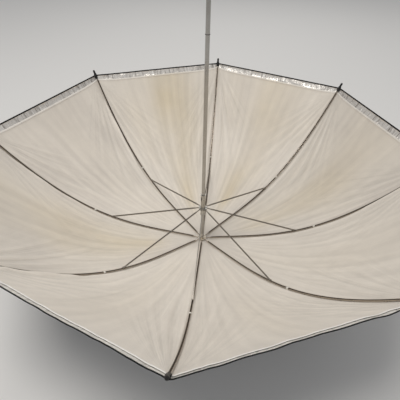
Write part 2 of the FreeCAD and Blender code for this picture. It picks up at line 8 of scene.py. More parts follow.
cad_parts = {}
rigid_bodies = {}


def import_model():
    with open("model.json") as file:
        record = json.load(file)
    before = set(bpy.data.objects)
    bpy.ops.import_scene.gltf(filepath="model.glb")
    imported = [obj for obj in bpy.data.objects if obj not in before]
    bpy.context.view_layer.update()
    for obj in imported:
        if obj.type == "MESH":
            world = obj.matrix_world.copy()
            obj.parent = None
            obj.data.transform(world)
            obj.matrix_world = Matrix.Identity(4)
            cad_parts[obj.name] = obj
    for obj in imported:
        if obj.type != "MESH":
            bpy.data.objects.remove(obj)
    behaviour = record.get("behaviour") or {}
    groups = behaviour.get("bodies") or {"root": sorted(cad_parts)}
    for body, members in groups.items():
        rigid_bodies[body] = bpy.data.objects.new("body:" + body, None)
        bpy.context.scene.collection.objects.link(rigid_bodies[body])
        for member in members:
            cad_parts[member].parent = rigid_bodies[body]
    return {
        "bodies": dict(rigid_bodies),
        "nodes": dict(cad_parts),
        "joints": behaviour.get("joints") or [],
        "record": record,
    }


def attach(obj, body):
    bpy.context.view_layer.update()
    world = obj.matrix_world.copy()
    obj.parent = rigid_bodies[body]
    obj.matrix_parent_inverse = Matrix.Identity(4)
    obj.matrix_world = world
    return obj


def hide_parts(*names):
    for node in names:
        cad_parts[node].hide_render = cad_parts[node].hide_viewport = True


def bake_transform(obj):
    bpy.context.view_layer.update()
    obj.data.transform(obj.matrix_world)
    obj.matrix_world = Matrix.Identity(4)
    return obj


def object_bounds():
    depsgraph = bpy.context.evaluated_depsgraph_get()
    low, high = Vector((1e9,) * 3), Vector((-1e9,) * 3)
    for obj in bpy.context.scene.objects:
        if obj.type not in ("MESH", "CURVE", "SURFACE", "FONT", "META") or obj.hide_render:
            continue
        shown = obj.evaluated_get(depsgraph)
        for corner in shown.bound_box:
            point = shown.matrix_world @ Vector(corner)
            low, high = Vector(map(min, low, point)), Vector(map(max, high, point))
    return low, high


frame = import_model()
cad_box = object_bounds()
scene = bpy.context.scene
nodes = frame["nodes"]
joints = {j["name"]: j for j in frame["joints"]}
ratios = {c["joint"]: c["ratio"] for c in frame["record"]["behaviour"]["couplings"]}

# ------------------------------------------------------------------ the frame's own numbers
MM = 0.001
RIBS = 8
SECTOR = 2 * math.pi / RIBS
fold = joints["rib_1_fold"]
straighten = joints["rib_1_straighten"]
HUB = fold["pos_m"][2]
PIVOT = fold["pos_m"][0]
QMAX = math.radians(fold["range_deg"][1])
BETA = -ratios["rib_1_straighten"] * QMAX
FLEX = np.array([straighten["pos_m"][0], straighten["pos_m"][2] - HUB])
RIVET = np.array([joints["strut_1_pivot"]["pos_m"][0], joints["strut_1_pivot"]["pos_m"][2] - HUB])
TIP = 0.477
CURVE = [0.22601522, -0.50692905, 1.24672091, -0.3942083]


# ------------------------------------------------------------------ rib curve (rib plane, hub at z 0)
def poly(x):
    return sum(c * x ** (i + 1) for i, c in enumerate(CURVE))


def rib_z(r):
    return TIP * (poly(r / TIP) - poly(PIVOT / TIP))


def rib_slope(r):
    x = r / TIP
    return sum((i + 1) * c * x ** i for i, c in enumerate(CURVE))


def on_rib(r, d):
    """Points at distance d from the rib's middle line; d grows towards the shaft side. Returns (..., 2)."""
    m = rib_slope(r)
    n = np.sqrt(1 + m * m)
    return np.stack([r - d * m / n, rib_z(r) + d / n], -1)


fine_r = np.linspace(0.004, 0.4771, 4000)
fine_s = np.concatenate([[0], np.cumsum(np.hypot(np.diff(fine_r), np.diff(rib_z(fine_r))))])


def r_at(s_from_pivot):
    s0 = np.interp(PIVOT, fine_r, fine_s)
    return np.interp(np.asarray(s_from_pivot) + s0, fine_s, fine_r)


def s_at(r):
    return np.interp(r, fine_r, fine_s) - np.interp(PIVOT, fine_r, fine_s)


S_TIP = float(s_at(TIP))
S_FLEX = float(s_at(0.235))
BEND_START = on_rib(r_at(S_FLEX - 0.012), 0.0)
BEND_END = on_rib(r_at(S_FLEX + 0.086), 0.0)


def turn2(p, about, angle):
    """Rotates points of the rib plane, from r towards z."""
    v = p - about
    c, s = np.cos(angle), np.sin(angle)
    return np.stack([v[..., 0] * c - v[..., 1] * s, v[..., 0] * s + v[..., 1] * c], -1) + about


def folded(p, f=1.0):
    """Where a point of the rib goes at a share f of the fold: it springs straight, then swings up."""
    d = BEND_END - BEND_START
    t = np.clip(((p - BEND_START) @ d) / (d @ d), 0, 1)
    w = t * t * (3 - 2 * t)
    return turn2(turn2(p, FLEX, -BETA * f * w), np.array([PIVOT, 0.0]), QMAX * f)


# ------------------------------------------------------------------ seeded smooth noise
def lattice(ix, iy, seed):
    h = (ix.astype(np.int64) * 374761393 + iy.astype(np.int64) * 668265263 + seed * 1274126177) & 0x7FFFFFFF
    h = ((h ^ (h >> 13)) * 1103515245) & 0x7FFFFFFF
    h = ((h ^ (h >> 16)) * 69069 + 12345) & 0x7FFFFFFF
    return ((h >> 8) & 0xFFFF) / 32767.5 - 1.0


def vnoise(x, y, seed=0):
    x, y = np.broadcast_arrays(np.asarray(x, float), np.asarray(y, float))
    ix, iy = np.floor(x), np.floor(y)
    fx, fy = x - ix, y - iy
    fx, fy = fx * fx * (3 - 2 * fx), fy * fy * (3 - 2 * fy)
    a, b = lattice(ix, iy, seed), lattice(ix + 1, iy, seed)
    c, d = lattice(ix, iy + 1, seed), lattice(ix + 1, iy + 1, seed)
    return (a * (1 - fx) + b * fx) * (1 - fy) + (c * (1 - fx) + d * fx) * fy


def smooth(x, lo=0.0, hi=1.0):
    t = np.clip((x - lo) / (hi - lo), 0, 1)
    return t * t * (3 - 2 * t)


# ------------------------------------------------------------------ materials
CLOTH_WHITE = (0.760, 0.706, 0.632)


def material(name):
    m = bpy.data.materials.new(name)
    m.use_nodes = True
    t = m.node_tree
    return m, t, t.nodes["Principled BSDF"]


def put(bsdf, **values):
    for key, value in values.items():
        bsdf.inputs[key.replace("_", " ")].default_value = value


class Graph:
    """Small helper that adds and links shader nodes."""

    def __init__(self, tree):
        self.t = tree

    def add(self, kind, **props):
        n = self.t.nodes.new(kind)
        for k, v in props.items():
            setattr(n, k, v)
        return n

    def link(self, a, b):
        self.t.links.new(a, b)

    def value(self, socket, target):
        if isinstance(socket, (int, float)):
            target.default_value = socket
        else:
            self.link(socket, target)

    def math(self, op, a, b=0.0, clamp=False):
        n = self.add("ShaderNodeMath", operation=op, use_clamp=clamp)
        self.value(a, n.inputs[0])
        self.value(b, n.inputs[1])
        return n.outputs[0]

    def mix(self, factor, a, b, blend="MIX"):
        n = self.add("ShaderNodeMix", data_type="RGBA", blend_type=blend, clamp_factor=True)
        self.value(factor, n.inputs["Factor"])
        for socket, target in ((a, n.inputs[6]), (b, n.inputs[7])):
            if isinstance(socket, tuple):
                target.default_value = socket if len(socket) == 4 else socket + (1.0,)
            else:
                self.link(socket, target)
        return n.outputs[2]

    def noise(self, vector, scale, detail=3.0, rough=0.5):
        n = self.add("ShaderNodeTexNoise")
        n.inputs["Scale"].default_value = scale
        n.inputs["Detail"].default_value = detail
        n.inputs["Roughness"].default_value = rough
        if vector is not None:
            self.link(vector, n.inputs["Vector"])
        return n.outputs["Fac"]

    def scaled(self, vector, x, y, z):
        n = self.add("ShaderNodeMapping")
        n.inputs["Scale"].default_value = (x, y, z)
        self.link(vector, n.inputs["Vector"])
        return n.outputs[0]

    def ramp(self, factor, stops):
        n = self.add("ShaderNodeValToRGB")
        e = n.color_ramp.elements
        while len(e) < len(stops):
            e.new(0.5)
        for one, (at, colour) in zip(e, stops):
            one.position = at
            one.color = colour if len(colour) == 4 else colour + (1.0,)
        self.link(factor, n.inputs[0])
        return n.outputs[0]

    def bump(self, height, strength, distance, normal=None):
        n = self.add("ShaderNodeBump")
        n.inputs["Strength"].default_value = strength
        n.inputs["Distance"].default_value = distance
        self.link(height, n.inputs["Height"])
        if normal is not None:
            self.link(normal, n.inputs["Normal"])
        return n.outputs[0]

    def weave(self, uv, pitch):
        """Crossed threads at a real pitch in metres: the UV map is in metres."""
        parts = self.add("ShaderNodeSeparateXYZ")
        self.link(uv, parts.inputs[0])
        k = 2 * math.pi / pitch
        sx = self.math("SINE", self.math("MULTIPLY", parts.outputs[0], k))
        sy = self.math("SINE", self.math("MULTIPLY", parts.outputs[1], k))
        return self.math("MULTIPLY", sx, sy)


def metal(name, colour, rough, wear=(0.5, 0.45, 0.38), wear_amount=0.35, stretch=(1, 1, 0.06), scale=900.0, dark=(0.10, 0.08, 0.06)):
    """Drawn or plated metal: fine lines along the work, patchy dulling and a little browning."""
    m, t, bsdf = material(name)
    g = Graph(t)
    where = g.add("ShaderNodeTexCoord").outputs["Object"]
    lines = g.noise(g.scaled(where, *stretch), scale, 4.0, 0.6)
    patches = g.noise(where, 55.0, 5.0, 0.62)
    specks = g.noise(where, 420.0, 3.0, 0.7)
    worn = g.ramp(patches, [(0.42, (0, 0, 0)), (0.68, (1, 1, 1))])
    spotted = g.ramp(specks, [(0.60, (0, 0, 0)), (0.72, (1, 1, 1))])
    base = g.mix(g.math("MULTIPLY", worn, wear_amount), colour, wear)
    base = g.mix(g.math("MULTIPLY", spotted, wear_amount * 0.8), base, dark)
    base = g.mix(0.25, base, g.ramp(lines, [(0.3, tuple(c * 0.7 for c in colour)), (0.7, tuple(min(1, c * 1.2) for c in colour))]))
    g.link(base, bsdf.inputs["Base Color"])
    g.link(g.math("ADD", g.math("MULTIPLY", patches, 0.22), g.math("ADD", g.math("MULTIPLY", lines, 0.12), rough - 0.15)), bsdf.inputs["Roughness"])
    g.link(g.bump(lines, 0.12, 0.0001), bsdf.inputs["Normal"])
    put(bsdf, Metallic=1.0)
    return m


def channel_steel(name, colour, rough, grime_and_shade=(0.068, 0.050, 0.036)):
    """Rolled steel strip: drawn lines, brown spotting, and a channel floor painted near black, partly for its dirt and
    old oil and partly as painted shade of the hollow.
    """
    m, t, bsdf = material(name)
    g = Graph(t)
    where = g.add("ShaderNodeTexCoord").outputs["Object"]
    inside = g.add("ShaderNodeAttribute", attribute_name="inside").outputs["Fac"]
    lines = g.noise(g.scaled(where, 0.12, 0.12, 0.12), 1500.0, 4.0, 0.6)
    patches = g.noise(where, 60.0, 5.0, 0.62)
    specks = g.ramp(g.noise(where, 700.0, 3.0, 0.7), [(0.56, (0, 0, 0)), (0.70, (1, 1, 1))])
    base = g.mix(g.ramp(patches, [(0.40, (0, 0, 0)), (0.70, (1, 1, 1))]), colour, tuple(c * 0.72 for c in colour))
    base = g.mix(g.math("MULTIPLY", specks, 0.35), base, (0.16, 0.10, 0.06))
    base = g.mix(0.25, base, g.ramp(lines, [(0.3, tuple(c * 0.7 for c in colour)), (0.7, tuple(min(1, c * 1.2) for c in colour))]))
    # the channel floor painted near black: dirt and old oil together with painted shade of the channel's hollow
    base = g.mix(g.math("MULTIPLY", inside, 0.96), base, grime_and_shade)
    g.link(base, bsdf.inputs["Base Color"])
    g.link(g.math("ADD", g.math("MULTIPLY", inside, 0.30), g.math("ADD", g.math("MULTIPLY", patches, 0.18), rough)), bsdf.inputs["Roughness"])
    g.link(g.bump(lines, 0.10, 0.0001), bsdf.inputs["Normal"])
    put(bsdf, Metallic=0.9)
    return m


def moulded(name, colour, rough):
    """Moulded plastic: a fine spark texture, scuffs that lighten it, slightly uneven gloss."""
    m, t, bsdf = material(name)
    g = Graph(t)
    where = g.add("ShaderNodeTexCoord").outputs["Object"]
    grain = g.noise(where, 2600.0, 2.0, 0.5)
    scuff = g.ramp(g.noise(g.scaled(where, 1, 1, 0.3), 260.0, 5.0, 0.7), [(0.55, (0, 0, 0)), (0.75, (1, 1, 1))])
    dust = g.noise(where, 40.0, 4.0, 0.6)
    base = g.mix(g.math("MULTIPLY", scuff, 0.35), colour, tuple(min(1.0, c * 3.0 + 0.03) for c in colour))
    base = g.mix(g.math("MULTIPLY", dust, 0.06), base, (0.16, 0.15, 0.13))
    g.link(base, bsdf.inputs["Base Color"])
    g.link(g.math("ADD", g.math("MULTIPLY", scuff, 0.2), rough), bsdf.inputs["Roughness"])
    g.link(g.bump(grain, 0.25, 0.0001), bsdf.inputs["Normal"])
    put(bsdf, Specular_IOR_Level=0.28)
    return m


def satin(name):
    """White satin: fine weave, slight sheen, uneven ageing and the tan stains, with painted shade and highlight on its
    creases and streaks, a painted light level for each gore, a painted highlight on the hem, and soiling mixed with
    painted shade beside the ribs.
    """
    m, t, bsdf = material(name)
    g = Graph(t)

    def attribute(key):
        return g.add("ShaderNodeAttribute", attribute_name=key).outputs["Fac"]

    uv = g.add("ShaderNodeUVMap", uv_map="cloth").outputs[0]
    spread = g.add("ShaderNodeUVMap", uv_map="spread").outputs[0]
    fan_uv = g.add("ShaderNodeSeparateXYZ")
    g.link(g.add("ShaderNodeUVMap", uv_map="fan").outputs[0], fan_uv.inputs[0])
    fan = g.add("ShaderNodeCombineXYZ")
    g.link(fan_uv.outputs[0], fan.inputs[0])
    g.link(fan_uv.outputs[1], fan.inputs[1])
    g.link(attribute("fan_seed"), fan.inputs[2])
    stain, soil, sewn, crease = (attribute(key) for key in ("stain", "soil", "sewn", "crease"))
    fan_streak = g.noise(g.scaled(fan.outputs[0], 38.0, 4.0, 7.3), 1.0, 5.0, 0.66)
    hub_streak = g.noise(g.scaled(spread, 40.0, 3.6, 1.0), 1.0, 5.0, 0.66)
    some = g.ramp(g.noise(g.scaled(uv, 7.5, 5.5, 1.0), 1.0, 3.0, 0.6), [(0.36, (0, 0, 0)), (0.62, (1, 1, 1))])
    hub_fine = g.noise(g.scaled(spread, 110.0, 5.0, 1.0), 1.0, 3.0, 0.6)
    blot = g.noise(g.scaled(uv, 13.0, 10.0, 1.0), 1.0, 5.0, 0.6)
    fine = g.noise(g.scaled(uv, 420.0, 26.0, 1.0), 1.0, 3.0, 0.6)
    tan = g.math("MULTIPLY", stain, g.math("ADD", g.math("MULTIPLY", hub_fine, 0.55), g.math("ADD", g.math("MULTIPLY", blot, 0.80), 0.18)), clamp=True)
    base = g.mix(0.5, CLOTH_WHITE, g.ramp(blot, [(0.3, tuple(c * 0.93 for c in CLOTH_WHITE)), (0.7, tuple(c * 1.05 for c in CLOTH_WHITE))]))
    base = g.mix(tan, base, g.ramp(hub_fine, [(0.3, (0.620, 0.518, 0.345)), (0.72, (0.690, 0.600, 0.435))]))
    # soiling mixed with painted shade beside the ribs darkens the cloth
    base = g.mix(g.math("MULTIPLY", soil, g.math("ADD", g.math("MULTIPLY", fine, 0.35), 0.20)), base, (0.44, 0.40, 0.37))
    # painted highlight: the white hem painted brighter than the clean cloth, most on the near gores
    base = g.mix(g.math("MULTIPLY", sewn, 0.85), base, (0.90, 0.88, 0.85))

    def centred(socket, gain):
        return g.math("MULTIPLY", g.math("SUBTRACT", socket, 0.5), gain)

    # painted shade and highlight: the streaks from the tips and the hub, the creases, each gore's painted light level
    # and a random mottle scale the colour up and down
    shade = g.math("ADD", g.math("MULTIPLY", centred(fan_streak, 0.44), attribute("fan_weight")),
                   g.math("MULTIPLY", g.math("MULTIPLY", centred(hub_streak, 0.34), some), attribute("hub_weight")))
    shade = g.math("ADD", shade, g.math("ADD", centred(crease, 0.10), centred(hub_fine, 0.08)))
    # each gore painted lighter or darker for how it faces the light
    shade = g.math("ADD", shade, attribute("level"))
    shade = g.math("ADD", shade, centred(g.noise(g.scaled(uv, 26.0, 22.0, 1.0), 1.0, 6.0, 0.62), 0.16))
    lit = g.add("ShaderNodeVectorMath", operation="SCALE")
    g.link(base, lit.inputs[0])
    g.link(g.math("ADD", shade, 1.0), lit.inputs["Scale"])
    g.link(lit.outputs[0], bsdf.inputs["Base Color"])
    g.link(g.math("ADD", g.math("MULTIPLY", fine, 0.16), 0.42), bsdf.inputs["Roughness"])
    n = g.bump(g.weave(uv, 0.00055), 0.10, 0.00008)
    n = g.bump(fine, 0.22, 0.0005, n)
    n = g.bump(g.math("MULTIPLY", g.math("MULTIPLY", hub_streak, some), attribute("hub_weight")), 0.40, 0.003, n)
    n = g.bump(g.math("MULTIPLY", fan_streak, attribute("fan_weight")), 0.50, 0.0035, n)
    g.link(n, bsdf.inputs["Normal"])
    put(bsdf, Specular_IOR_Level=0.38, Sheen_Weight=0.20, Sheen_Roughness=0.4)
    return m


def black_cloth(name, binding=False):
    """Tightly woven black nylon with a faint ripstop grid, creases and lint; the binding is a ribbed tape."""
    m, t, bsdf = material(name)
    g = Graph(t)
    uv = g.add("ShaderNodeUVMap", uv_map="cloth").outputs[0]
    blot = g.noise(g.scaled(uv, 14.0, 10.0, 1.0), 1.0, 5.0, 0.6)
    crease = g.noise(g.scaled(uv, 90.0, 9.0, 1.0), 1.0, 4.0, 0.6)
    lint = g.ramp(g.noise(g.scaled(uv, 900.0, 500.0, 1.0), 1.0, 2.0, 0.5), [(0.70, (0, 0, 0)), (0.78, (1, 1, 1))])
    base = g.mix(blot, (0.008, 0.008, 0.009) if binding else (0.016, 0.016, 0.018), (0.014, 0.014, 0.015) if binding else (0.034, 0.034, 0.037))
    base = g.mix(g.math("MULTIPLY", lint, 0.10), base, (0.20, 0.20, 0.20))
    g.link(base, bsdf.inputs["Base Color"])
    g.link(g.math("ADD", g.math("MULTIPLY", blot, 0.14), 0.44 if not binding else 0.6), bsdf.inputs["Roughness"])
    n = g.bump(g.weave(uv, 0.0006 if not binding else 0.0010), 0.35 if binding else 0.22, 0.00012)
    n = g.bump(crease, 0.35, 0.0012, n)
    n = g.bump(g.ramp(g.add("ShaderNodeAttribute", attribute_name="seam").outputs["Fac"], [(0.10, (0, 0, 0)), (0.22, (1, 1, 1))]), 0.6, 0.0008, n)
    g.link(n, bsdf.inputs["Normal"])
    put(bsdf, Sheen_Weight=0.0 if binding else 0.22, Sheen_Roughness=0.35, Specular_IOR_Level=0.15 if binding else 0.35)
    bsdf.inputs["Sheen Tint"].default_value = (0.6, 0.62, 0.68, 1.0)
    return m


def silver(name):
    """Silver coated lining: a thin metal film on cloth, crazed, with fine puckers across the hem; the puckers carry
    painted shade and painted glints, and the near gores a painted reflection.
    """
    m, t, bsdf = material(name)
    g = Graph(t)
    uv = g.add("ShaderNodeUVMap", uv_map="cloth").outputs[0]
    pucker = g.noise(g.scaled(uv, 210.0, 26.0, 1.0), 1.0, 3.0, 0.60)
    crinkle = g.noise(g.scaled(uv, 420.0, 160.0, 1.0), 1.0, 3.0, 0.6)
    broad = g.noise(g.scaled(uv, 62.0, 16.0, 1.0), 1.0, 3.0, 0.55)
    dull = g.noise(g.scaled(uv, 12.0, 12.0, 1.0), 1.0, 4.0, 0.6)
    base = g.mix(dull, (0.70, 0.655, 0.60), (0.86, 0.82, 0.77))
    # painted shade and painted glints on the puckers: darker where the pucker noise is high, nearly white where it is
    # low
    base = g.mix(g.ramp(pucker, [(0.52, (0, 0, 0)), (0.70, (1, 1, 1))]), base, (0.30, 0.27, 0.24))
    base = g.mix(g.ramp(pucker, [(0.30, (1, 1, 1)), (0.42, (0, 0, 0))]), base, (0.97, 0.95, 0.91))
    # painted reflection: where shine is high the lining is painted lighter and made less metallic
    shine = g.add("ShaderNodeAttribute", attribute_name="shine").outputs["Fac"]
    base = g.mix(g.math("MULTIPLY", shine, 0.55), base, (0.93, 0.93, 0.90))
    g.link(base, bsdf.inputs["Base Color"])
    g.link(g.math("SUBTRACT", 0.66, g.math("MULTIPLY", shine, 0.40)), bsdf.inputs["Metallic"])
    g.link(g.math("ADD", g.math("MULTIPLY", dull, 0.14), 0.20), bsdf.inputs["Roughness"])
    n = g.bump(g.weave(uv, 0.0006), 0.08, 0.00008)
    n = g.bump(crinkle, 0.35, 0.0008, n)
    n = g.bump(pucker, 0.65, 0.0030, n)
    n = g.bump(broad, 0.55, 0.0050, n)
    g.link(n, bsdf.inputs["Normal"])
    return m


def thread(name):
    m, t, bsdf = material(name)
    g = Graph(t)
    where = g.add("ShaderNodeTexCoord").outputs["Object"]
    ply = g.noise(g.scaled(where, 1, 1, 1), 3200.0, 2.0, 0.5)
    soiled = g.noise(where, 300.0, 4.0, 0.6)
    g.link(g.mix(soiled, (0.82, 0.80, 0.75), (0.70, 0.66, 0.58)), bsdf.inputs["Base Color"])
    g.link(g.bump(ply, 0.4, 0.0001), bsdf.inputs["Normal"])
    put(bsdf, Roughness=0.75, Sheen_Weight=0.3)
    return m


MATERIALS = {
    "shaft_steel": metal("shaft_steel", (0.47, 0.455, 0.43), 0.15, wear=(0.38, 0.34, 0.30), wear_amount=0.30),
    "rib_steel": channel_steel("rib_steel", (0.570, 0.505, 0.430), 0.17),
    "strut_steel": metal("strut_steel", (0.30, 0.275, 0.245), 0.36, wear=(0.40, 0.36, 0.30), wear_amount=0.4, stretch=(0.1, 0.1, 0.1), scale=1500.0),
    "notch_metal": metal("notch_metal", (0.72, 0.66, 0.56), 0.26, wear=(0.45, 0.32, 0.22), wear_amount=0.55, stretch=(1, 1, 1), scale=700.0, dark=(0.16, 0.10, 0.06)),
    "runner_metal": metal("runner_metal", (0.50, 0.48, 0.44), 0.26, wear=(0.38, 0.34, 0.28), wear_amount=0.4, stretch=(1, 1, 0.1), scale=800.0),
    "wire": metal("wire", (0.40, 0.34, 0.27), 0.35, wear=(0.30, 0.20, 0.13), wear_amount=0.6, stretch=(1, 1, 1), scale=1500.0),
    "rivet_steel": metal("rivet_steel", (0.13, 0.12, 0.11), 0.40, wear=(0.25, 0.20, 0.16), wear_amount=0.4, stretch=(1, 1, 1), scale=1800.0),
    "spring_steel": metal("spring_steel", (0.10, 0.095, 0.10), 0.33, wear=(0.18, 0.14, 0.10), wear_amount=0.3, stretch=(1, 1, 1), scale=1500.0),
    "black_plastic": moulded("black_plastic", (0.009, 0.0085, 0.0085), 0.45),
    "white_satin": satin("white_satin"),
    "black_outside": black_cloth("black_outside"),
    "black_binding": black_cloth("black_binding", True),
    "silver_lining": silver("silver_lining"),
    "tie_thread": thread("tie_thread"),
}
slot_of = {row["node"]: row["material_slot"] for row in frame["record"]["subparts"]}
for name, obj in nodes.items():
    key = slot_of[name]
    if key not in MATERIALS:
        continue
    obj.data.materials.clear()
    obj.data.materials.append(MATERIALS[key])


# ------------------------------------------------------------------ mesh helpers
def new_mesh(name, verts, faces, mats, smooth_faces=True):
    me = bpy.data.meshes.new(name)
    me.from_pydata([tuple(v) for v in verts], [], [tuple(f) for f in faces])
    for m in mats:
        me.materials.append(MATERIALS[m])
    me.update()
    me.polygons.foreach_set("use_smooth", [smooth_faces] * len(me.polygons))
    ob = bpy.data.objects.new(name, me)
    scene.collection.objects.link(ob)
    return ob


def turned(points, k):
    """Rib plane coordinates of rib 1 (x, y, z) carried to rib k (1 to 8)."""
    a = SECTOR * (k - 1)
    c, s = math.cos(a), math.sin(a)
    p = np.asarray(points, float)
    return np.stack([p[:, 0] * c - p[:, 1] * s, p[:, 0] * s + p[:, 1] * c, p[:, 2]], -1)


class Builder:
    """Collects closed bits of one piece in the plane of rib 1 (x out, y across, z up from the hub)."""

    def __init__(self):
        self.v, self.f, self.inside = [], [], []

    def loft(self, rings, close_ends=True, inside=None):
        """rings: list of (n, 3) loops, joined in order, wound so that faces point outwards.
        inside: for each place in a loop, 1 where it lies in the channel (for its material)."""
        base = sum(len(x) for x in self.v)
        n = len(rings[0])
        self.v.append(np.concatenate(rings))
        if inside is not None:
            self.inside.append((base, np.tile(inside, len(rings))))
        for i in range(len(rings) - 1):
            for j in range(n):
                a, b = base + i * n + j, base + i * n + (j + 1) % n
                self.f.append((a, b, b + n, a + n))
        if close_ends:
            self.f.append(tuple(base + j for j in reversed(range(n))))
            last = base + (len(rings) - 1) * n
            self.f.append(tuple(last + j for j in range(n)))

    def sweep(self, profile, radii, inside=None):
        """profile: (y, d) loop in the rib's cross-section, carried along the rib."""
        profile = np.asarray(profile, float)
        rings = []
        for r in radii:
            m = rib_slope(r)
            n = math.sqrt(1 + m * m)
            x = r - profile[:, 1] * m / n
            z = rib_z(r) + profile[:, 1] / n
            rings.append(np.stack([x, profile[:, 0], z], -1))
        self.loft(rings, inside=inside)

    def washer(self, centre, r_in, r_out, y0, y1, sides=28, bevel=0.08 * MM):
        """A ring about an axis along y."""
        loops = []
        for r, y in ((r_in, y0), (r_out - bevel, y0), (r_out, y0 + bevel), (r_out, y1 - bevel), (r_out - bevel, y1), (r_in, y1)):
            a = np.linspace(0, 2 * math.pi, sides, endpoint=False)
            loops.append(np.stack([centre[0] + r * np.cos(a), np.full(sides, y), centre[1] + r * np.sin(a)], -1))
        base = sum(len(x) for x in self.v)
        self.v.append(np.concatenate(loops))
        for i in range(len(loops)):
            ni = (i + 1) % len(loops)
            for j in range(sides):
                nj = (j + 1) % sides
                self.f.append((base + i * sides + j, base + ni * sides + j, base + ni * sides + nj, base + i * sides + nj))

    def plate(self, corners, y0, y1):
        p = np.asarray(corners, float)
        low = np.stack([p[:, 0], np.full(len(p), y0), p[:, 1]], -1)
        high = np.stack([p[:, 0], np.full(len(p), y1), p[:, 1]], -1)
        self.loft([low, high])

    def object(self, name, k, mat, smooth_faces=False):
        v = np.concatenate(self.v)
        v = turned(v, k)
        v[:, 2] += HUB
        ob = new_mesh(name, v, self.f, [mat], smooth_faces)
        if self.inside:
            values = np.zeros(len(v), np.float32)
            for base, marks in self.inside:
                values[base:base + len(marks)] = marks
            ob.data.attributes.new("inside", "FLOAT", "POINT").data.foreach_set("value", values)
        bm = bmesh.new()
        bm.from_mesh(ob.data)
        bmesh.ops.recalc_face_normals(bm, faces=bm.faces)
        bmesh.ops.triangulate(bm, faces=[f for f in bm.faces if len(f.verts) > 4])
        bm.to_mesh(ob.data)
        bm.free()
        return ob


def smooth_by_angle(ob, degrees=35.0):
    """Smooth faces, with edges sharper than the angle kept hard."""
    me = ob.data
    me.polygons.foreach_set("use_smooth", [True] * len(me.polygons))
    bm = bmesh.new()
    bm.from_mesh(me)
    limit = math.radians(degrees)
    for e in bm.edges:
        e.smooth = len(e.link_faces) == 2 and e.calc_face_angle(0.0) < limit
    bm.to_mesh(me)
    bm.free()
    return ob


# ------------------------------------------------------------------ ribs
W, D, T = 1.8 * MM, 1.2 * MM, 0.4 * MM
U_PROFILE = [(-W, D), (-W, -D + 0.45 * MM), (-W + 0.12 * MM, -D + 0.14 * MM), (-W + 0.42 * MM, -D),
             (W - 0.42 * MM, -D), (W - 0.12 * MM, -D + 0.14 * MM), (W, -D + 0.45 * MM), (W, D),
             (W - T * 0.5, D + 0.05 * MM), (W - T, D), (W - T, -D + T + 0.25 * MM), (W - T - 0.25 * MM, -D + T),
             (-W + T + 0.25 * MM, -D + T), (-W + T, -D + T + 0.25 * MM), (-W + T, D), (-W + T * 0.5, D + 0.05 * MM)]


U_INSIDE = np.array([0, 0, 0, 0, 0, 0, 0, 0, 0, 0.1, 0.9, 1, 1, 0.9, 0.1, 0], np.float32)


def rib_builder():
    b = Builder()
    start, end = 0.0200, float(r_at(S_TIP - 0.0125))
    s0, s1 = float(s_at(start)), float(s_at(end))
    b.sweep(U_PROFILE, r_at(np.linspace(s0, s1, 170)), inside=U_INSIDE)
    tongue = [(-0.6 * MM, -1.0 * MM), (0.6 * MM, -1.0 * MM), (0.6 * MM, 1.0 * MM), (-0.6 * MM, 1.0 * MM)]
    b.sweep(tongue, np.linspace(0.0092, 0.0225, 6))
    b.washer((PIVOT, 0.0), 0.7 * MM, 1.6 * MM, -0.6 * MM, 0.6 * MM)
    web = [(-1.7 * MM, -1.1 * MM), (1.7 * MM, -1.1 * MM), (1.7 * MM, 1.1 * MM), (-1.7 * MM, 1.1 * MM)]
    b.sweep(web, np.linspace(0.0203, 0.0228, 3))
    foot_in = on_rib(np.array(RIVET[0] - 0.0034), D - 0.9 * MM)
    foot_out = on_rib(np.array(RIVET[0] + 0.0054), D - 0.9 * MM)
    for y0, y1 in ((-W, -W + T), (W - T, W)):
        b.washer(RIVET, 0.92 * MM, 1.75 * MM, y0, y1)
        for side, foot in ((-1, foot_in), (1, foot_out)):
            mid = on_rib(np.array(RIVET[0] + 0.0010), D - 0.9 * MM)
            b.plate([foot, mid, RIVET + np.array([side * 0.95 * MM, -0.25 * MM]), RIVET + np.array([side * 1.66 * MM, 0.35 * MM])], y0, y1)
    stop = float(r_at(S_TIP - 0.0152))
    b.sweep(web, np.linspace(stop, end - 0.0001, 3))
    return b


def blend_rib(ob, k):
    p = turned(np.array([[BEND_START[0], 0, BEND_START[1]], [BEND_END[0], 0, BEND_END[1]]]), k)
    p[:, 2] += HUB
    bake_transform(ob)


rib_shape = rib_builder()
for k in range(1, RIBS + 1):
    ob = rib_shape.object("rib_strip_%d" % k, k, "rib_steel")
    smooth_by_angle(ob, 30)
    blend_rib(ob, k)
    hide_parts("rib_%d_inner" % k, "rib_%d_outer" % k)


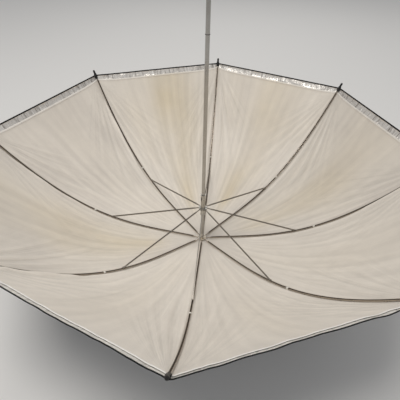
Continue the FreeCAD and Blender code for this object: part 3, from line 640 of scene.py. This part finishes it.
# ------------------------------------------------------------------ thread ties on the ribs
def tie_builder(r_mid, wraps, seed):
    """Sewing thread wound round the rib and through the canopy's seam, with a small knot."""
    b = Builder()
    rng = np.random.RandomState(seed)
    hw, hi, lo = 2.02 * MM, 1.42 * MM, -3.06 * MM
    loop = []
    for cx, cy, a0 in ((hw - 0.5 * MM, hi - 0.5 * MM, 0), (-hw + 0.5 * MM, hi - 0.5 * MM, 90), (-hw + 0.5 * MM, lo + 0.5 * MM, 180), (hw - 0.5 * MM, lo + 0.5 * MM, 270)):
        for a in (0, 30, 60, 90):
            q = math.radians(a0 + a)
            loop.append((cx + 0.5 * MM * math.cos(q), cy + 0.5 * MM * math.sin(q)))
    loop = np.array(loop)
    m = rib_slope(r_mid)
    n = math.sqrt(1 + m * m)
    along, up = np.array([1 / n, 0, m / n]), np.array([-m / n, 0, 1 / n])
    centre = np.array([r_mid, 0, rib_z(r_mid)])
    side = np.array([0, 1.0, 0])
    count = len(loop)
    path = []
    for w in range(wraps):
        for j in range(count):
            t = (w + j / count) / wraps
            y, d = loop[j] * (1 + 0.03 * rng.randn())
            path.append(centre + along * ((t - 0.5) * wraps * 0.62 * MM + 0.06 * MM * rng.randn()) + side * y + up * d)
    path = np.array(path)
    b.loft(tube_rings(path, 0.27 * MM, 7))
    knot = centre + side * (hw + 0.25 * MM) + up * (hi * 0.4)
    turns = np.linspace(0, 4 * math.pi, 26)
    ball = np.stack([knot[0] + 0.5 * MM * np.cos(turns) * np.sin(turns * 0.5 + 0.4), knot[1] + 0.35 * MM * np.sin(turns), knot[2] + 0.5 * MM * np.cos(turns * 0.5)], -1)
    b.loft(tube_rings(ball, 0.25 * MM, 6))
    tail = np.array([knot, knot + side * 0.8 * MM + up * 0.9 * MM, knot + side * 0.9 * MM + up * 2.0 * MM + along * 0.8 * MM, knot + side * 0.5 * MM + up * 2.9 * MM + along * 1.9 * MM])
    b.loft(tube_rings(tail, 0.16 * MM, 6))
    return b


def tube_rings(path, radius, sides):
    """Circles carried along a path without twisting."""
    path = np.asarray(path, float)
    tangents = np.gradient(path, axis=0)
    tangents /= np.linalg.norm(tangents, axis=1)[:, None] + 1e-12
    normal = np.cross(tangents[0], [0.3, 0.5, 0.8])
    normal /= np.linalg.norm(normal)
    rings = []
    a = np.linspace(0, 2 * math.pi, sides, endpoint=False)
    for p, t in zip(path, tangents):
        normal = normal - t * (normal @ t)
        normal /= np.linalg.norm(normal)
        other = np.cross(t, normal)
        rings.append(p + radius * (np.cos(a)[:, None] * normal + np.sin(a)[:, None] * other))
    return rings


TIE_R = 0.5565 * TIP
for k in range(1, RIBS + 1):
    ob = tie_builder(TIE_R, 8, 40 + k).object("thread_tie_%d" % k, k, "tie_thread", True)
    blend_rib(ob, k)

# ------------------------------------------------------------------ canopy and cover
CROWN = 0.0062
S_CROWN = -(PIVOT - CROWN)
CANOPY_BACK, COVER_BACK = 3.16 * MM, 4.10 * MM
GORE_STAIN = [0.58, 0.62, 0.85, 0.07, 0.60, 0.12, 0.12, 0.10]     # gore g lies between rib g+1 and the next
GORE_GREY = [0.15, 0.05, 0.00, 0.30, 0.20, 0.00, 0.00, 0.10]
# how much lighter or darker each gore is painted for how it faces the light
GORE_PAINTED_LIGHT = [-0.10, -0.02, 0.00, 0.02, -0.02, -0.01, -0.05, -0.08]
# how strongly each gore's hem is painted with a highlight
GORE_HEM_HIGHLIGHT = [0.40, 0.35, 0.35, 0.40, 0.70, 1.00, 1.00, 0.75]
GORE_PAINTED_SHINE = [0.00, 0.28, 0.15, 0.00, 0.30, 1.00, 1.00, 0.40]     # how much each gore's lining is painted brighter, a painted reflection strongest on the near gores
# gore centres: 22.5, 67.5, 112.5, 157.5, 202.5, 247.5, 292.5, 337.5 degrees


# loose cloth beside a rib: gore, side, from, to (metres along the rib), height, distance and width (mm)
PUFFS = [(5, -1, 0.315, 0.520, 7.0, 9.0, 6.0), (3, -1, 0.270, 0.500, 4.6, 8.0, 5.5), (7, 1, 0.050, 0.530, 3.2, 7.5, 5.0),
         (4, -1, 0.060, 0.500, 3.0, 7.5, 5.0), (5, -1, 0.060, 0.330, 2.2, 7.5, 5.0)]


def ridge(distance, width):
    """A crease's cross-section: a soft ridge with a slight hollow on each side."""
    q = (distance / width) ** 2
    return np.exp(-q) * (1 - 0.55 * q)


def wrinkles(g, x, half, s, s_end):
    """Height of the cloth's creases in metres over one gore: x across from its middle, s from the crown."""
    rng = np.random.RandomState(500 + g)
    h = np.zeros_like(x)
    for side in (-1, 1):
        u = half - side * x                       # distance in from this rib
        v = s_end - s
        rho = np.hypot(u, v) + 1e-9
        ang = np.arctan2(u, v)
        for j in range(10):
            at = 0.040 + 0.068 * j + 0.016 * rng.randn()
            width = np.maximum(0.020 + 0.012 * rng.rand(), 6.5 * MM / rho)
            reach = (0.20 + 0.20 * rng.rand()) * (1.0 - 0.045 * j)
            amp = (0.5 + 1.1 * rng.rand()) * MM * (1.0 if j < 5 else 0.5)
            sign = 1 if (j % 2 == 0) else -0.5
            wob = 0.014 * vnoise(rho * 16, 0.0, 900 + g * 31 + j * 7 + side)
            h += sign * amp * ridge(ang - at - wob, width) * smooth(rho, 0.030, 0.085) * np.exp(-(rho / reach) ** 2)
        for j in range(4):                        # long folds that bow beside the rib
            lo = 0.06 + 0.07 * rng.rand()
            hi = 0.34 + 0.16 * rng.rand()
            t = np.clip((s - lo) / (hi - lo), 0, 1)
            line = (6 + 13 * j + 5 * rng.rand()) * MM * np.sin(math.pi * t) + (5 + 9 * j) * MM * t
            amp = (0.5 + 0.8 * rng.rand()) * MM * (1.0 if g in (2, 5, 6) else 0.7)
            h += amp * (1 if j % 2 == 0 else -0.7) * ridge(u - line, 5.5 * MM + 2.5 * MM * j) * np.sin(math.pi * t) ** 0.7
    for at_gore, side, lo, hi, amp, place, width in PUFFS:
        if at_gore == g:
            u = half - side * x
            along = smooth(s, lo, lo + 0.05) * (1 - smooth(s, hi - 0.04, hi))
            along = along * (1 + 0.22 * vnoise(s * 22, 0.0, 1500 + g))
            h += amp * MM * along * np.exp(-((u - place * MM) / (width * MM)) ** 2)
    theta = x / (s + 0.018)
    calm = 0.55 if g in (4, 5, 6) else 1.0
    for j in range(12):
        at = -0.34 + 0.062 * j + 0.014 * rng.randn()
        width = np.maximum(0.016 + 0.012 * rng.rand(), 4.5 * MM / (s + 0.03))
        amp = (0.25 + 0.65 * rng.rand()) * MM
        lo, hi = 0.02 + 0.05 * rng.rand(), 0.20 + 0.24 * rng.rand()
        bow = 0.02 * vnoise(s * 7, 0.0, 1300 + g * 13 + j)
        h += (1 if j % 2 else -0.7) * calm * amp * ridge(theta - at - bow, width) * smooth(s, lo, lo + 0.06) * (1 - smooth(s, hi, hi + 0.16))
    h += 0.55 * MM * vnoise(theta * 26 + vnoise(s * 9, theta * 2, 60 + g), s * 3.4, 70 + g) * smooth(s, 0.05, 0.16)
    h += 0.30 * MM * vnoise(theta * 60, s * 6.0, 170 + g) * smooth(s, 0.12, 0.26)
    h += 2.4 * MM * vnoise(x * 8.0 + 3 * g, s * 6.0, 270 + g) * smooth(s, 0.08, 0.30)
    near = half - np.abs(x)
    h += 0.35 * MM * vnoise(s * 80.0, np.sign(x) * 3.0, 370 + g) * np.exp(-(near / (9 * MM)) ** 2)
    return h


def closed_shape(base2, half, x_from_rib, ply, t):
    """The rolled pleat of one gore, as cylinder coordinates (radius, turn from the gore's first rib, height).
    base2: the rib's back in the closed pose (radius, height); ply: 0 outer cloth, 1 the cloth nested inside it; t: what a pleat adds."""
    radius, height = base2[..., 0], base2[..., 1]
    length = 2 * half
    pitch = RIBS * t / (2 * math.pi)              # growth per radian
    inset = 0.20 * t * ply

    def arc(a):
        return radius * a + pitch * a * a / 2

    def angle(l):
        l = np.maximum(l, 0)
        return (-radius + np.sqrt(radius ** 2 + 2 * pitch * l)) / pitch

    short = arc(SECTOR)
    tip = np.maximum(angle((length + short) / 2), SECTOR)      # turn of the pleat's fold
    tip = np.maximum(tip - ply * (0.026 * length + 2.0 * MM) / (radius + pitch * tip), SECTOR)    # the inner cloth's fold ends inside the outer's
    leg = arc(tip)
    x = x_from_rib * np.maximum(length / (2 * leg - short), 1e-6) ** -1   # stretched to the legs' real length
    out = angle(np.minimum(x, leg))
    back = angle(np.maximum(leg - (x - leg), short))
    outer = x <= leg
    turn = np.where(outer, out, back)
    r_out = radius + pitch * out - inset * smooth(out, 0, SECTOR)
    # the returning ply lies one cloth nearer the shaft than the outgoing one
    r_back = radius + pitch * (back - SECTOR) + (0.35 * t + inset) * smooth(back - SECTOR, 0, 0.25 * SECTOR)
    blend_tip = smooth(np.abs(x - leg), 0.0, 4.0 * MM)
    middle = (radius + pitch * tip + radius + pitch * (tip - SECTOR) + 0.35 * t) / 2
    r = np.where(outer, r_out, r_back)
    r = middle + (r - middle) * blend_tip
    flat = length <= short * 1.02
    a = x_from_rib / np.maximum(length, 1e-9)
    turn = np.where(flat, a * SECTOR, turn)
    r = np.where(flat, radius, r)
    return r, turn, height


def fold_values(share):
    """How far each shape key is in, at a share of the fold."""
    turned, near_end = QMAX * share, (QMAX - BETA) / QMAX
    return {"swing_up": math.sin(turned), "swing_in": 1 - math.cos(turned),
            "end_up": math.sin(near_end * turned), "end_in": 1 - math.cos(near_end * turned),
            "billow": math.sin(math.pi * share ** 0.8), "rolled": share ** 3}


def fold_shape(verts, moves, share):
    return verts + sum(value * moves[key] for key, value in fold_values(share).items())


def inward(opened, shape):
    """Unit vectors off the cloth on its inner side, which is the upper side of the open shape."""
    def cross(p):
        return np.cross(np.gradient(p, axis=0), np.roll(p, -1, axis=1) - np.roll(p, 1, axis=1))
    n = cross(shape) * np.sign(np.median(cross(opened)[:, :, 2]))
    return n / (np.linalg.norm(n, axis=2)[:, :, None] + 1e-15)


def cloth(name, offset, edge_of, mats, rows, extra=None, ply=0, roll=None):
    """Eight gores in one sheet, with its open shape, its creases and its rolled, closed shape.
    edge_of: distance along the rib at which the cloth ends, for a place across the gore (-1 to 1)."""
    cols = COLUMNS
    n_rows, n_cols = len(rows), len(cols) - 1
    across_all = 2 * cols - 1
    s_all = S_CROWN + (edge_of(across_all)[None, :] - S_CROWN) * np.asarray(rows)[:, None]
    r_all = np.where(s_all >= 0, r_at(np.maximum(s_all, 0)), PIVOT + s_all)
    base_all = on_rib(r_all, -offset)                        # (rows, columns, 2)
    total = RIBS * n_cols
    shape = (n_rows, total)
    verts = np.zeros(shape + (3,))
    moves = {key: np.zeros(shape + (3,)) for key in ("swing_up", "swing_in", "end_up", "end_in", "billow", "rolled")}
    uv, fan, spread = np.zeros(shape + (2,)), np.zeros(shape + (2,)), np.zeros(shape + (2,))
    flat = {key: np.zeros(shape) for key in ("stain", "soil", "sewn", "crease", "fan_seed", "fan_weight", "hub_weight", "seam", "level", "shine")}
    s = s_all[:, :-1]
    base = base_all[:, :-1]
    R, Z = base[..., 0], base[..., 1]
    half = R * math.sin(SECTOR / 2)
    a = np.broadcast_to(cols[:-1][None, :], s.shape)
    across = 2 * a - 1
    x = across * half
    near = half - np.abs(x)
    # how the rib carries its cloth: two turning parts, exact at both ends of the bend
    d = BEND_END - BEND_START
    t = np.clip(((base - BEND_START) @ d) / (d @ d), 0, 1)
    w = (t * t * (3 - 2 * t))[..., None]
    centre = np.array([PIVOT, 0.0])
    ease = smooth(s, -0.002, 0.012)[..., None]
    first = ((FLEX - centre) + (1 - w) * (base - FLEX)) * ease
    second = w * (base - FLEX) * ease

    def side(v):
        return np.stack([-v[..., 1], v[..., 0]], -1)

    shut2 = base * (1 - ease) + folded(base) * ease
    shut2[..., 0] = np.minimum(shut2[..., 0], np.where(s < 0.012, base[..., 0] + 0.0004, 1.0))
    plain_end = base + first * (math.cos(QMAX) - 1) + side(first) * math.sin(QMAX) \
        + second * (math.cos(QMAX - BETA) - 1) + side(second) * math.sin(QMAX - BETA)
    slope = np.gradient(Z, axis=0) / (np.gradient(R, axis=0) + 1e-12)
    lean = np.arctan(slope) + QMAX * 0.55                    # how far the gore has swung when it billows most
    depth = half * 0.50 * (1 - np.abs(across) ** 1.6) * smooth(s, 0.02, 0.12)
    for g in range(RIBS):
        a0, a1 = SECTOR * g, SECTOR * (g + 1)
        sl = slice(g * n_cols, (g + 1) * n_cols)

        def spread_out(v, aa):
            """A vector of the rib plane, shared between the gore's two ribs by the place across."""
            cx = (1 - aa) * math.cos(a0) + aa * math.cos(a1)
            cy = (1 - aa) * math.sin(a0) + aa * math.sin(a1)
            return np.stack([v[..., 0] * cx, v[..., 0] * cy, v[..., 1] + 0 * cx], -1)

        full = spread_out(base_all, np.broadcast_to(cols[None, :], s_all.shape))
        du, dv = np.gradient(full, axis=1), np.gradient(full, axis=0)
        normal = np.cross(dv, du)
        normal /= np.linalg.norm(normal, axis=2)[:, :, None] + 1e-15
        normal *= np.sign(normal[:, :, 2:3])
        normal = normal[:, :-1]
        window = smooth(near, 0.8 * MM, 7.0 * MM) * smooth(s, 0.012, 0.05)
        h = wrinkles(g, x, half, s, S_TIP) * window
        # the creases' local height, which the satin paints as shade in the hollows and highlight on the ridges
        step = 3
        low = np.pad(h, ((0, 0), (step, step)), mode="edge")
        local = h - 0.5 * (low[:, :-2 * step] + low[:, 2 * step:])
        flat["crease"][:, sl] = np.clip(0.5 + local / (1.1 * MM), 0, 1)
        if extra is not None:
            h = h + extra(g, x, half, s) * smooth(near, 0.5 * MM, 10.0 * MM)
        open_shape = full[:, :-1] + normal * h[:, :, None]
        verts[:, sl] = open_shape
        moves["swing_up"][:, sl] = spread_out(side(first), a)
        moves["swing_in"][:, sl] = spread_out(-first, a)
        moves["end_up"][:, sl] = spread_out(side(second), a)
        moves["end_in"][:, sl] = spread_out(-second, a)
        mid = a0 + SECTOR / 2
        out = np.stack([np.sin(lean) * math.cos(mid), np.sin(lean) * math.sin(mid), -np.cos(lean)], -1)
        moves["billow"][:, sl] = out * depth[..., None]
        rr, tt, zz = closed_shape(shut2, half, a * 2 * half, ply, (3.0 + 1.4 * smooth(s, S_TIP - 0.13, S_TIP - 0.03)) * MM)
        turn = a0 + tt
        zz = zz + 0.7 * MM * vnoise(tt * 3.0, s * 14.0, 600 + g) * smooth(s, 0.1, 0.2)
        shut = np.stack([rr * np.cos(turn), rr * np.sin(turn), zz], -1)
        moves["rolled"][:, sl] = shut - spread_out(plain_end, a) - normal * h[:, :, None]
        # maps in metres (cloth), and along the creases that leave the tips (fan) and the hub (spread)
        theta = x / (s + 0.018)
        u, v = near, S_TIP - s
        rho, ang = np.hypot(u, v), np.arctan2(u, v)
        uv[:, sl, 0], uv[:, sl, 1] = x + g * 0.41, s
        fan[:, sl, 0], fan[:, sl, 1] = ang, rho
        spread[:, sl, 0], spread[:, sl, 1] = theta + g * 0.8, s
        flat["fan_seed"][:, sl] = g * 2 + (x > 0)
        flat["fan_weight"][:, sl] = np.exp(-(rho / 0.27) ** 2) * (1 - smooth(ang, 0.25, 1.05)) * smooth(rho, 0.01, 0.04) * (1 - smooth(1 - np.abs(across), 0.55, 0.95))
        flat["hub_weight"][:, sl] = smooth(s, 0.015, 0.07) * (1 - 0.70 * smooth(s, 0.30, 0.50))
        patch = np.exp(-((across + 0.10 * vnoise(s * 6, 0, 700 + g)) / (0.50 + 0.16 * vnoise(s * 9, 5.0, 710 + g))) ** 2)
        patch *= smooth(s, 0.05, 0.15) * (1 - 0.40 * smooth(s, 0.40, 0.57))
        patch *= 0.80 + 0.50 * vnoise(x / (s + 0.05) * 9, s * 6, 720 + g)
        flat["stain"][:, sl] = np.clip(GORE_STAIN[g] * patch, 0, 1)
        # soiling mixed with painted shade: darker round the crown, darker within a few millimetres of each rib as
        # painted shade, a random mottle, and each gore's greying further out
        grime_and_shade = 0.45 * np.exp(-(s / 0.05) ** 2) + 0.35 * np.exp(-(near / (5 * MM)) ** 2) + 0.25 * vnoise(x * 14, s * 12, 730 + g)
        flat["soil"][:, sl] = np.clip(grime_and_shade + GORE_GREY[g] * smooth(s, 0.15, 0.4), 0, 1)
        rim = edge_of(across)
        # painted highlight along the hem, per gore
        flat["sewn"][:, sl] = GORE_HEM_HIGHLIGHT[g] * smooth(s, rim - 4.7 * MM, rim - 4.2 * MM)
        # each gore's painted light level
        flat["level"][:, sl] = GORE_PAINTED_LIGHT[g]
        # painted reflection on the lining, per gore
        flat["shine"][:, sl] = GORE_PAINTED_SHINE[g]
        flat["seam"][:, sl] = np.exp(-(near / (3.2 * MM)) ** 2)
    verts[:, :, 2] += HUB
    if ply:                                                  # the inner cloth keeps clear of the outer one part-way
        moves["apart"] = inward(verts, fold_shape(verts, moves, 0.68)) * (1.5 * MM * np.tile(smooth(near, 1.0 * MM, 9.0 * MM) * smooth(s, 0.02, 0.08), (1, RIBS)))[:, :, None]
    index = np.arange(n_rows * total).reshape(n_rows, total)
    nxt = np.roll(index, -1, axis=1)
    faces = np.stack([index[:-1], index[1:], nxt[1:], nxt[:-1]], -1).reshape(-1, 4)
    ob = new_mesh(name, verts.reshape(-1, 3), faces.tolist(), mats)
    me = ob.data
    if roll is not None:                                     # how thick each row is, as a share of the hem's
        group = ob.vertex_groups.new(name="thickness")
        for i in range(n_rows):
            group.add(index[i].tolist(), float(roll[i]), "REPLACE")
    loop_vert = np.zeros(len(me.loops), np.int64)
    me.loops.foreach_get("vertex_index", loop_vert)
    column, row = loop_vert % total, loop_vert // total
    j_face = np.repeat(np.arange(len(me.polygons)), 4) % total
    gore = j_face // n_cols
    # the last column of each gore closes on the next rib, so its maps continue instead of jumping back
    wraps = ((j_face % n_cols) == n_cols - 1) & (column != j_face)
    edge_half, edge_s = half[:, 0], s[:, 0]
    for layer_name, data in (("cloth", uv), ("fan", fan), ("spread", spread)):
        co = data.reshape(-1, 2)[loop_vert].copy()
        if layer_name == "cloth":
            co[wraps, 0] = edge_half[row[wraps]] + gore[wraps] * 0.41
        if layer_name == "spread":
            co[wraps, 0] = edge_half[row[wraps]] / (edge_s[row[wraps]] + 0.018) + gore[wraps] * 0.8
        me.uv_layers.new(name=layer_name).data.foreach_set("uv", co.astype(np.float32).ravel())
    for key, data in flat.items():
        me.attributes.new(key, "FLOAT", "POINT").data.foreach_set("value", data.astype(np.float32).ravel())
    follow_fold(ob, verts, moves)
    return ob, s_all


def follow_fold(ob, verts, moves):
    """The cloth goes with the ribs as they close: shape keys driven by rib 1's own turn."""
    ob.shape_key_add(name="open")
    near_end = (QMAX - BETA) / QMAX
    turned_by = "max(0, -turn)"
    share = "max(0, min(1, -turn / %.6f))" % QMAX
    values = {
        "swing_up": "sin(%s)" % turned_by,
        "swing_in": "1 - cos(%s)" % turned_by,
        "end_up": "sin(%.6f * %s)" % (near_end, turned_by),
        "end_in": "1 - cos(%.6f * %s)" % (near_end, turned_by),
        "billow": "max(0, sin(3.14159 * pow(%s, 0.8)))" % share,
        "rolled": "pow(%s, 3)" % share,
        "apart": "max(0, sin(3.14159 * pow(%s, 0.9)))" % share,
    }
    for name, expression in values.items():
        if name not in moves:
            continue
        key = ob.shape_key_add(name=name)
        key.data.foreach_set("co", (verts + moves[name]).astype(np.float32).ravel())
        driver = key.driver_add("value").driver
        driver.type = "SCRIPTED"
        var = driver.variables.new()
        var.name = "turn"
        var.type = "TRANSFORMS"
        var.targets[0].id = frame["bodies"]["rib_1"]
        var.targets[0].transform_type = "ROT_Y"
        var.targets[0].transform_space = "WORLD_SPACE"
        driver.expression = expression


def gore_columns(n):
    """Across a gore, closer together beside the ribs."""
    t = np.linspace(0, 1, n + 1)
    return t - 0.45 * np.sin(2 * math.pi * t) / (2 * math.pi)


COLUMNS = gore_columns(104)
HEM_WHITE = S_TIP - 17.0 * MM


def white_edge(across):
    return HEM_WHITE + 4.8 * MM * np.abs(across) ** 6


def cover_edge(across):
    return np.full(np.shape(across), S_TIP)


WHITE_HEM, WHITE_THICK, WHITE_PLY = 4.6 * MM, 1.30 * MM, 0.28 * MM
white_steps = [(-4.6, 0.22), (-4.45, 0.55), (-4.1, 0.80), (-3.4, 0.94), (-2.5, 1.0), (-1.6, 0.97), (-0.9, 0.86), (-0.4, 0.66), (0.0, 0.36)]
white_length = HEM_WHITE - S_CROWN
white_body = np.unique(np.concatenate([np.linspace(0, 0.965, 104), np.linspace(0.965, 1.0 - WHITE_HEM / white_length, 10)]))
rows_white = np.concatenate([white_body[:-1], [1.0 + at * MM / white_length for at, _ in white_steps]])
white_roll = np.concatenate([np.full(len(white_body) - 1, WHITE_PLY / WHITE_THICK), [max(share, WHITE_PLY / WHITE_THICK) for _, share in white_steps]])


def hem_lift(g, x, half, s):
    """The folded hem lies on the lining instead of in it."""
    return 0.45 * MM * smooth(s, HEM_WHITE - 9 * MM, HEM_WHITE - 3 * MM)


white, _ = cloth("white_canopy_cloth", CANOPY_BACK, white_edge, ["white_satin"], rows_white, extra=hem_lift, ply=1, roll=white_roll)


def lining_crinkle(g, x, half, s):
    """The loose silver edge beyond the white hem puckers across its width."""
    strip = smooth(s, HEM_WHITE - 4 * MM, HEM_WHITE + 5 * MM) * (1 - smooth(s, S_TIP - 7 * MM, S_TIP - 3.6 * MM))
    h = 0.8 * MM * vnoise(x * 95, s * 26, 810 + g) + 0.45 * MM * vnoise(x * 190, s * 40, 820 + g) + 0.8 * MM * vnoise(x * 38, s * 12, 830 + g)
    edge = 0.45 * MM * vnoise(x * 30, 1.0, 840 + g) * smooth(s, S_TIP - 8 * MM, S_TIP)
    h = h * strip - 0.5 * MM * strip + edge
    hem = white_edge(x / np.maximum(half, 1e-6))
    under = 1 - smooth(s, hem + 0.5 * MM, hem + 3 * MM)       # the lining stays behind the white hem
    return h * (1 - under) + np.minimum(h, -0.12 * MM * smooth(s, 0.03, 0.08)) * under


HEM, HEM_THICK, PLY = 3.4 * MM, 1.7 * MM, 0.30 * MM
hem_steps = [(-3.40, 0.16), (-3.30, 0.45), (-3.1, 0.66), (-2.8, 0.80), (-2.4, 0.90), (-1.9, 0.98), (-1.4, 1.0), (-0.9, 0.94), (-0.5, 0.80), (-0.2, 0.58), (0.0, 0.34)]
full_length = S_TIP - S_CROWN
body_rows = np.unique(np.concatenate([np.linspace(0, 0.955, 100), np.linspace(0.955, 1.0 - HEM / full_length, 18)]))
rows_cover = np.concatenate([body_rows[:-1], [1.0 + at * MM / full_length for at, _ in hem_steps]])
roll = np.concatenate([np.full(len(body_rows) - 1, PLY / HEM_THICK), [max(share, PLY / HEM_THICK) for _, share in hem_steps]])
cover, s_cover = cloth("backing_cover_cloth", COVER_BACK, cover_edge, ["silver_lining", "black_outside", "black_binding", "black_binding"],
                       rows_cover, extra=lining_crinkle, ply=0, roll=roll)
# the hem is a rolled black tape, on both faces
row_material = np.where(np.arange(len(rows_cover) - 1) >= len(body_rows) - 1, 2, 0)
cover.data.polygons.foreach_set("material_index", np.repeat(row_material, RIBS * (len(COLUMNS) - 1)).astype(np.int32))

for ob, thickness, lining in ((white, WHITE_THICK, False), (cover, HEM_THICK, True)):
    solid = ob.modifiers.new("thickness", "SOLIDIFY")
    solid.thickness = thickness
    solid.offset = 0.0
    solid.use_even_offset = False
    solid.vertex_group = "thickness"
    solid.thickness_vertex_group = 0.0
    if lining:
        solid.material_offset = 1
        solid.material_offset_rim = 2

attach(white, "shaft")
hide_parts("white_canopy")
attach(cover, "shaft")
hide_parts("backing_cover")

# the cover's corner pockets, which hold the tip caps
POCKET = []
for radius, angles in ((3.55 * MM, np.linspace(-205, 25, 24)), (2.95 * MM, np.linspace(25, -205, 24))):
    for q in np.radians(angles):
        POCKET.append((radius * math.cos(q), radius * math.sin(q) * (1.16 if math.sin(q) < 0 else 1.0)))
for k in range(1, RIBS + 1):
    b = Builder()
    b.sweep(POCKET, np.linspace(float(r_at(S_TIP - 0.0085)), TIP + 0.0012, 8))
    ob = b.object("corner_pocket_%d" % k, k, "black_binding")
    smooth_by_angle(ob, 40)
    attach(ob, "rib_%d_end" % k)

# ------------------------------------------------------------------ floor, light, camera
floor_me = bpy.data.meshes.new("floor")
floor_me.from_pydata([(-9, -9, 0), (9, -9, 0), (9, 9, 0), (-9, 9, 0)], [], [(0, 1, 2, 3)])
floor = bpy.data.objects.new("floor", floor_me)
floor.location.z = cad_box[0].z - 0.0005
scene.collection.objects.link(floor)
m, t, bsdf = material("floor_paint")
g = Graph(t)
put(bsdf, Roughness=0.85)
bsdf.inputs["Base Color"].default_value = (0.80, 0.79, 0.77, 1.0)
clear = g.add("ShaderNodeBsdfTransparent")
geo = g.add("ShaderNodeNewGeometry")
mixer = g.add("ShaderNodeMixShader")
g.link(geo.outputs["Backfacing"], mixer.inputs[0])
g.link(bsdf.outputs[0], mixer.inputs[1])
g.link(clear.outputs[0], mixer.inputs[2])
g.link(mixer.outputs[0], t.nodes["Material Output"].inputs["Surface"])
floor_me.materials.append(m)


def area(name, location, target, size_m, power, colour=(1, 1, 1)):
    data = bpy.data.lights.new(name, "AREA")
    data.shape = "RECTANGLE"
    data.size, data.size_y = size_m
    data.energy = power
    data.color = colour
    ob = bpy.data.objects.new(name, data)
    ob.location = location
    ob.rotation_mode = "QUATERNION"
    ob.rotation_quaternion = (Vector(target) - Vector(location)).to_track_quat("-Z", "Y")
    scene.collection.objects.link(ob)
    return ob


area("key", (-0.55, -0.45, 2.9), (0, 0, 0.15), (1.2, 1.2), 40, (1.0, 0.97, 0.93))
area("fill", (2.4, -1.6, 1.9), (0, 0, 0.15), (1.6, 1.6), 4, (0.96, 0.97, 1.0))
area("back", (0.2, 2.4, 1.7), (0, 0, 0.2), (2.0, 1.2), 8, (1.0, 0.98, 0.95))
world = bpy.data.worlds.new("studio")
scene.world = world
world.use_nodes = True
world.node_tree.nodes["Background"].inputs[0].default_value = (0.93, 0.94, 0.96, 1.0)
world.node_tree.nodes["Background"].inputs[1].default_value = 0.40
scene.view_settings.view_transform = "Standard"
scene.view_settings.look = "None"

cam = bpy.data.cameras.new("camera")
cam.sensor_fit = "HORIZONTAL"
cam.sensor_width = 36.0
cam.lens = 33.70
cam.clip_start, cam.clip_end = 0.01, 50
camera = bpy.data.objects.new("camera", cam)
right = Vector((0.99543956, 0.09413928, 0.01542314))
down = Vector((0.07249646, -0.64146304, -0.76372078))
ahead = Vector((-0.06200275, 0.76135601, -0.64536245))
turn = Matrix((right, -down, -ahead)).transposed()
camera.matrix_world = Matrix.Translation(Vector((0.09774 * TIP, -1.38974 * TIP, 1.44011 * TIP + HUB - TIP * poly(PIVOT / TIP)))) @ turn.to_4x4()
scene.collection.objects.link(camera)
scene.camera = camera

bpy.context.view_layer.update()
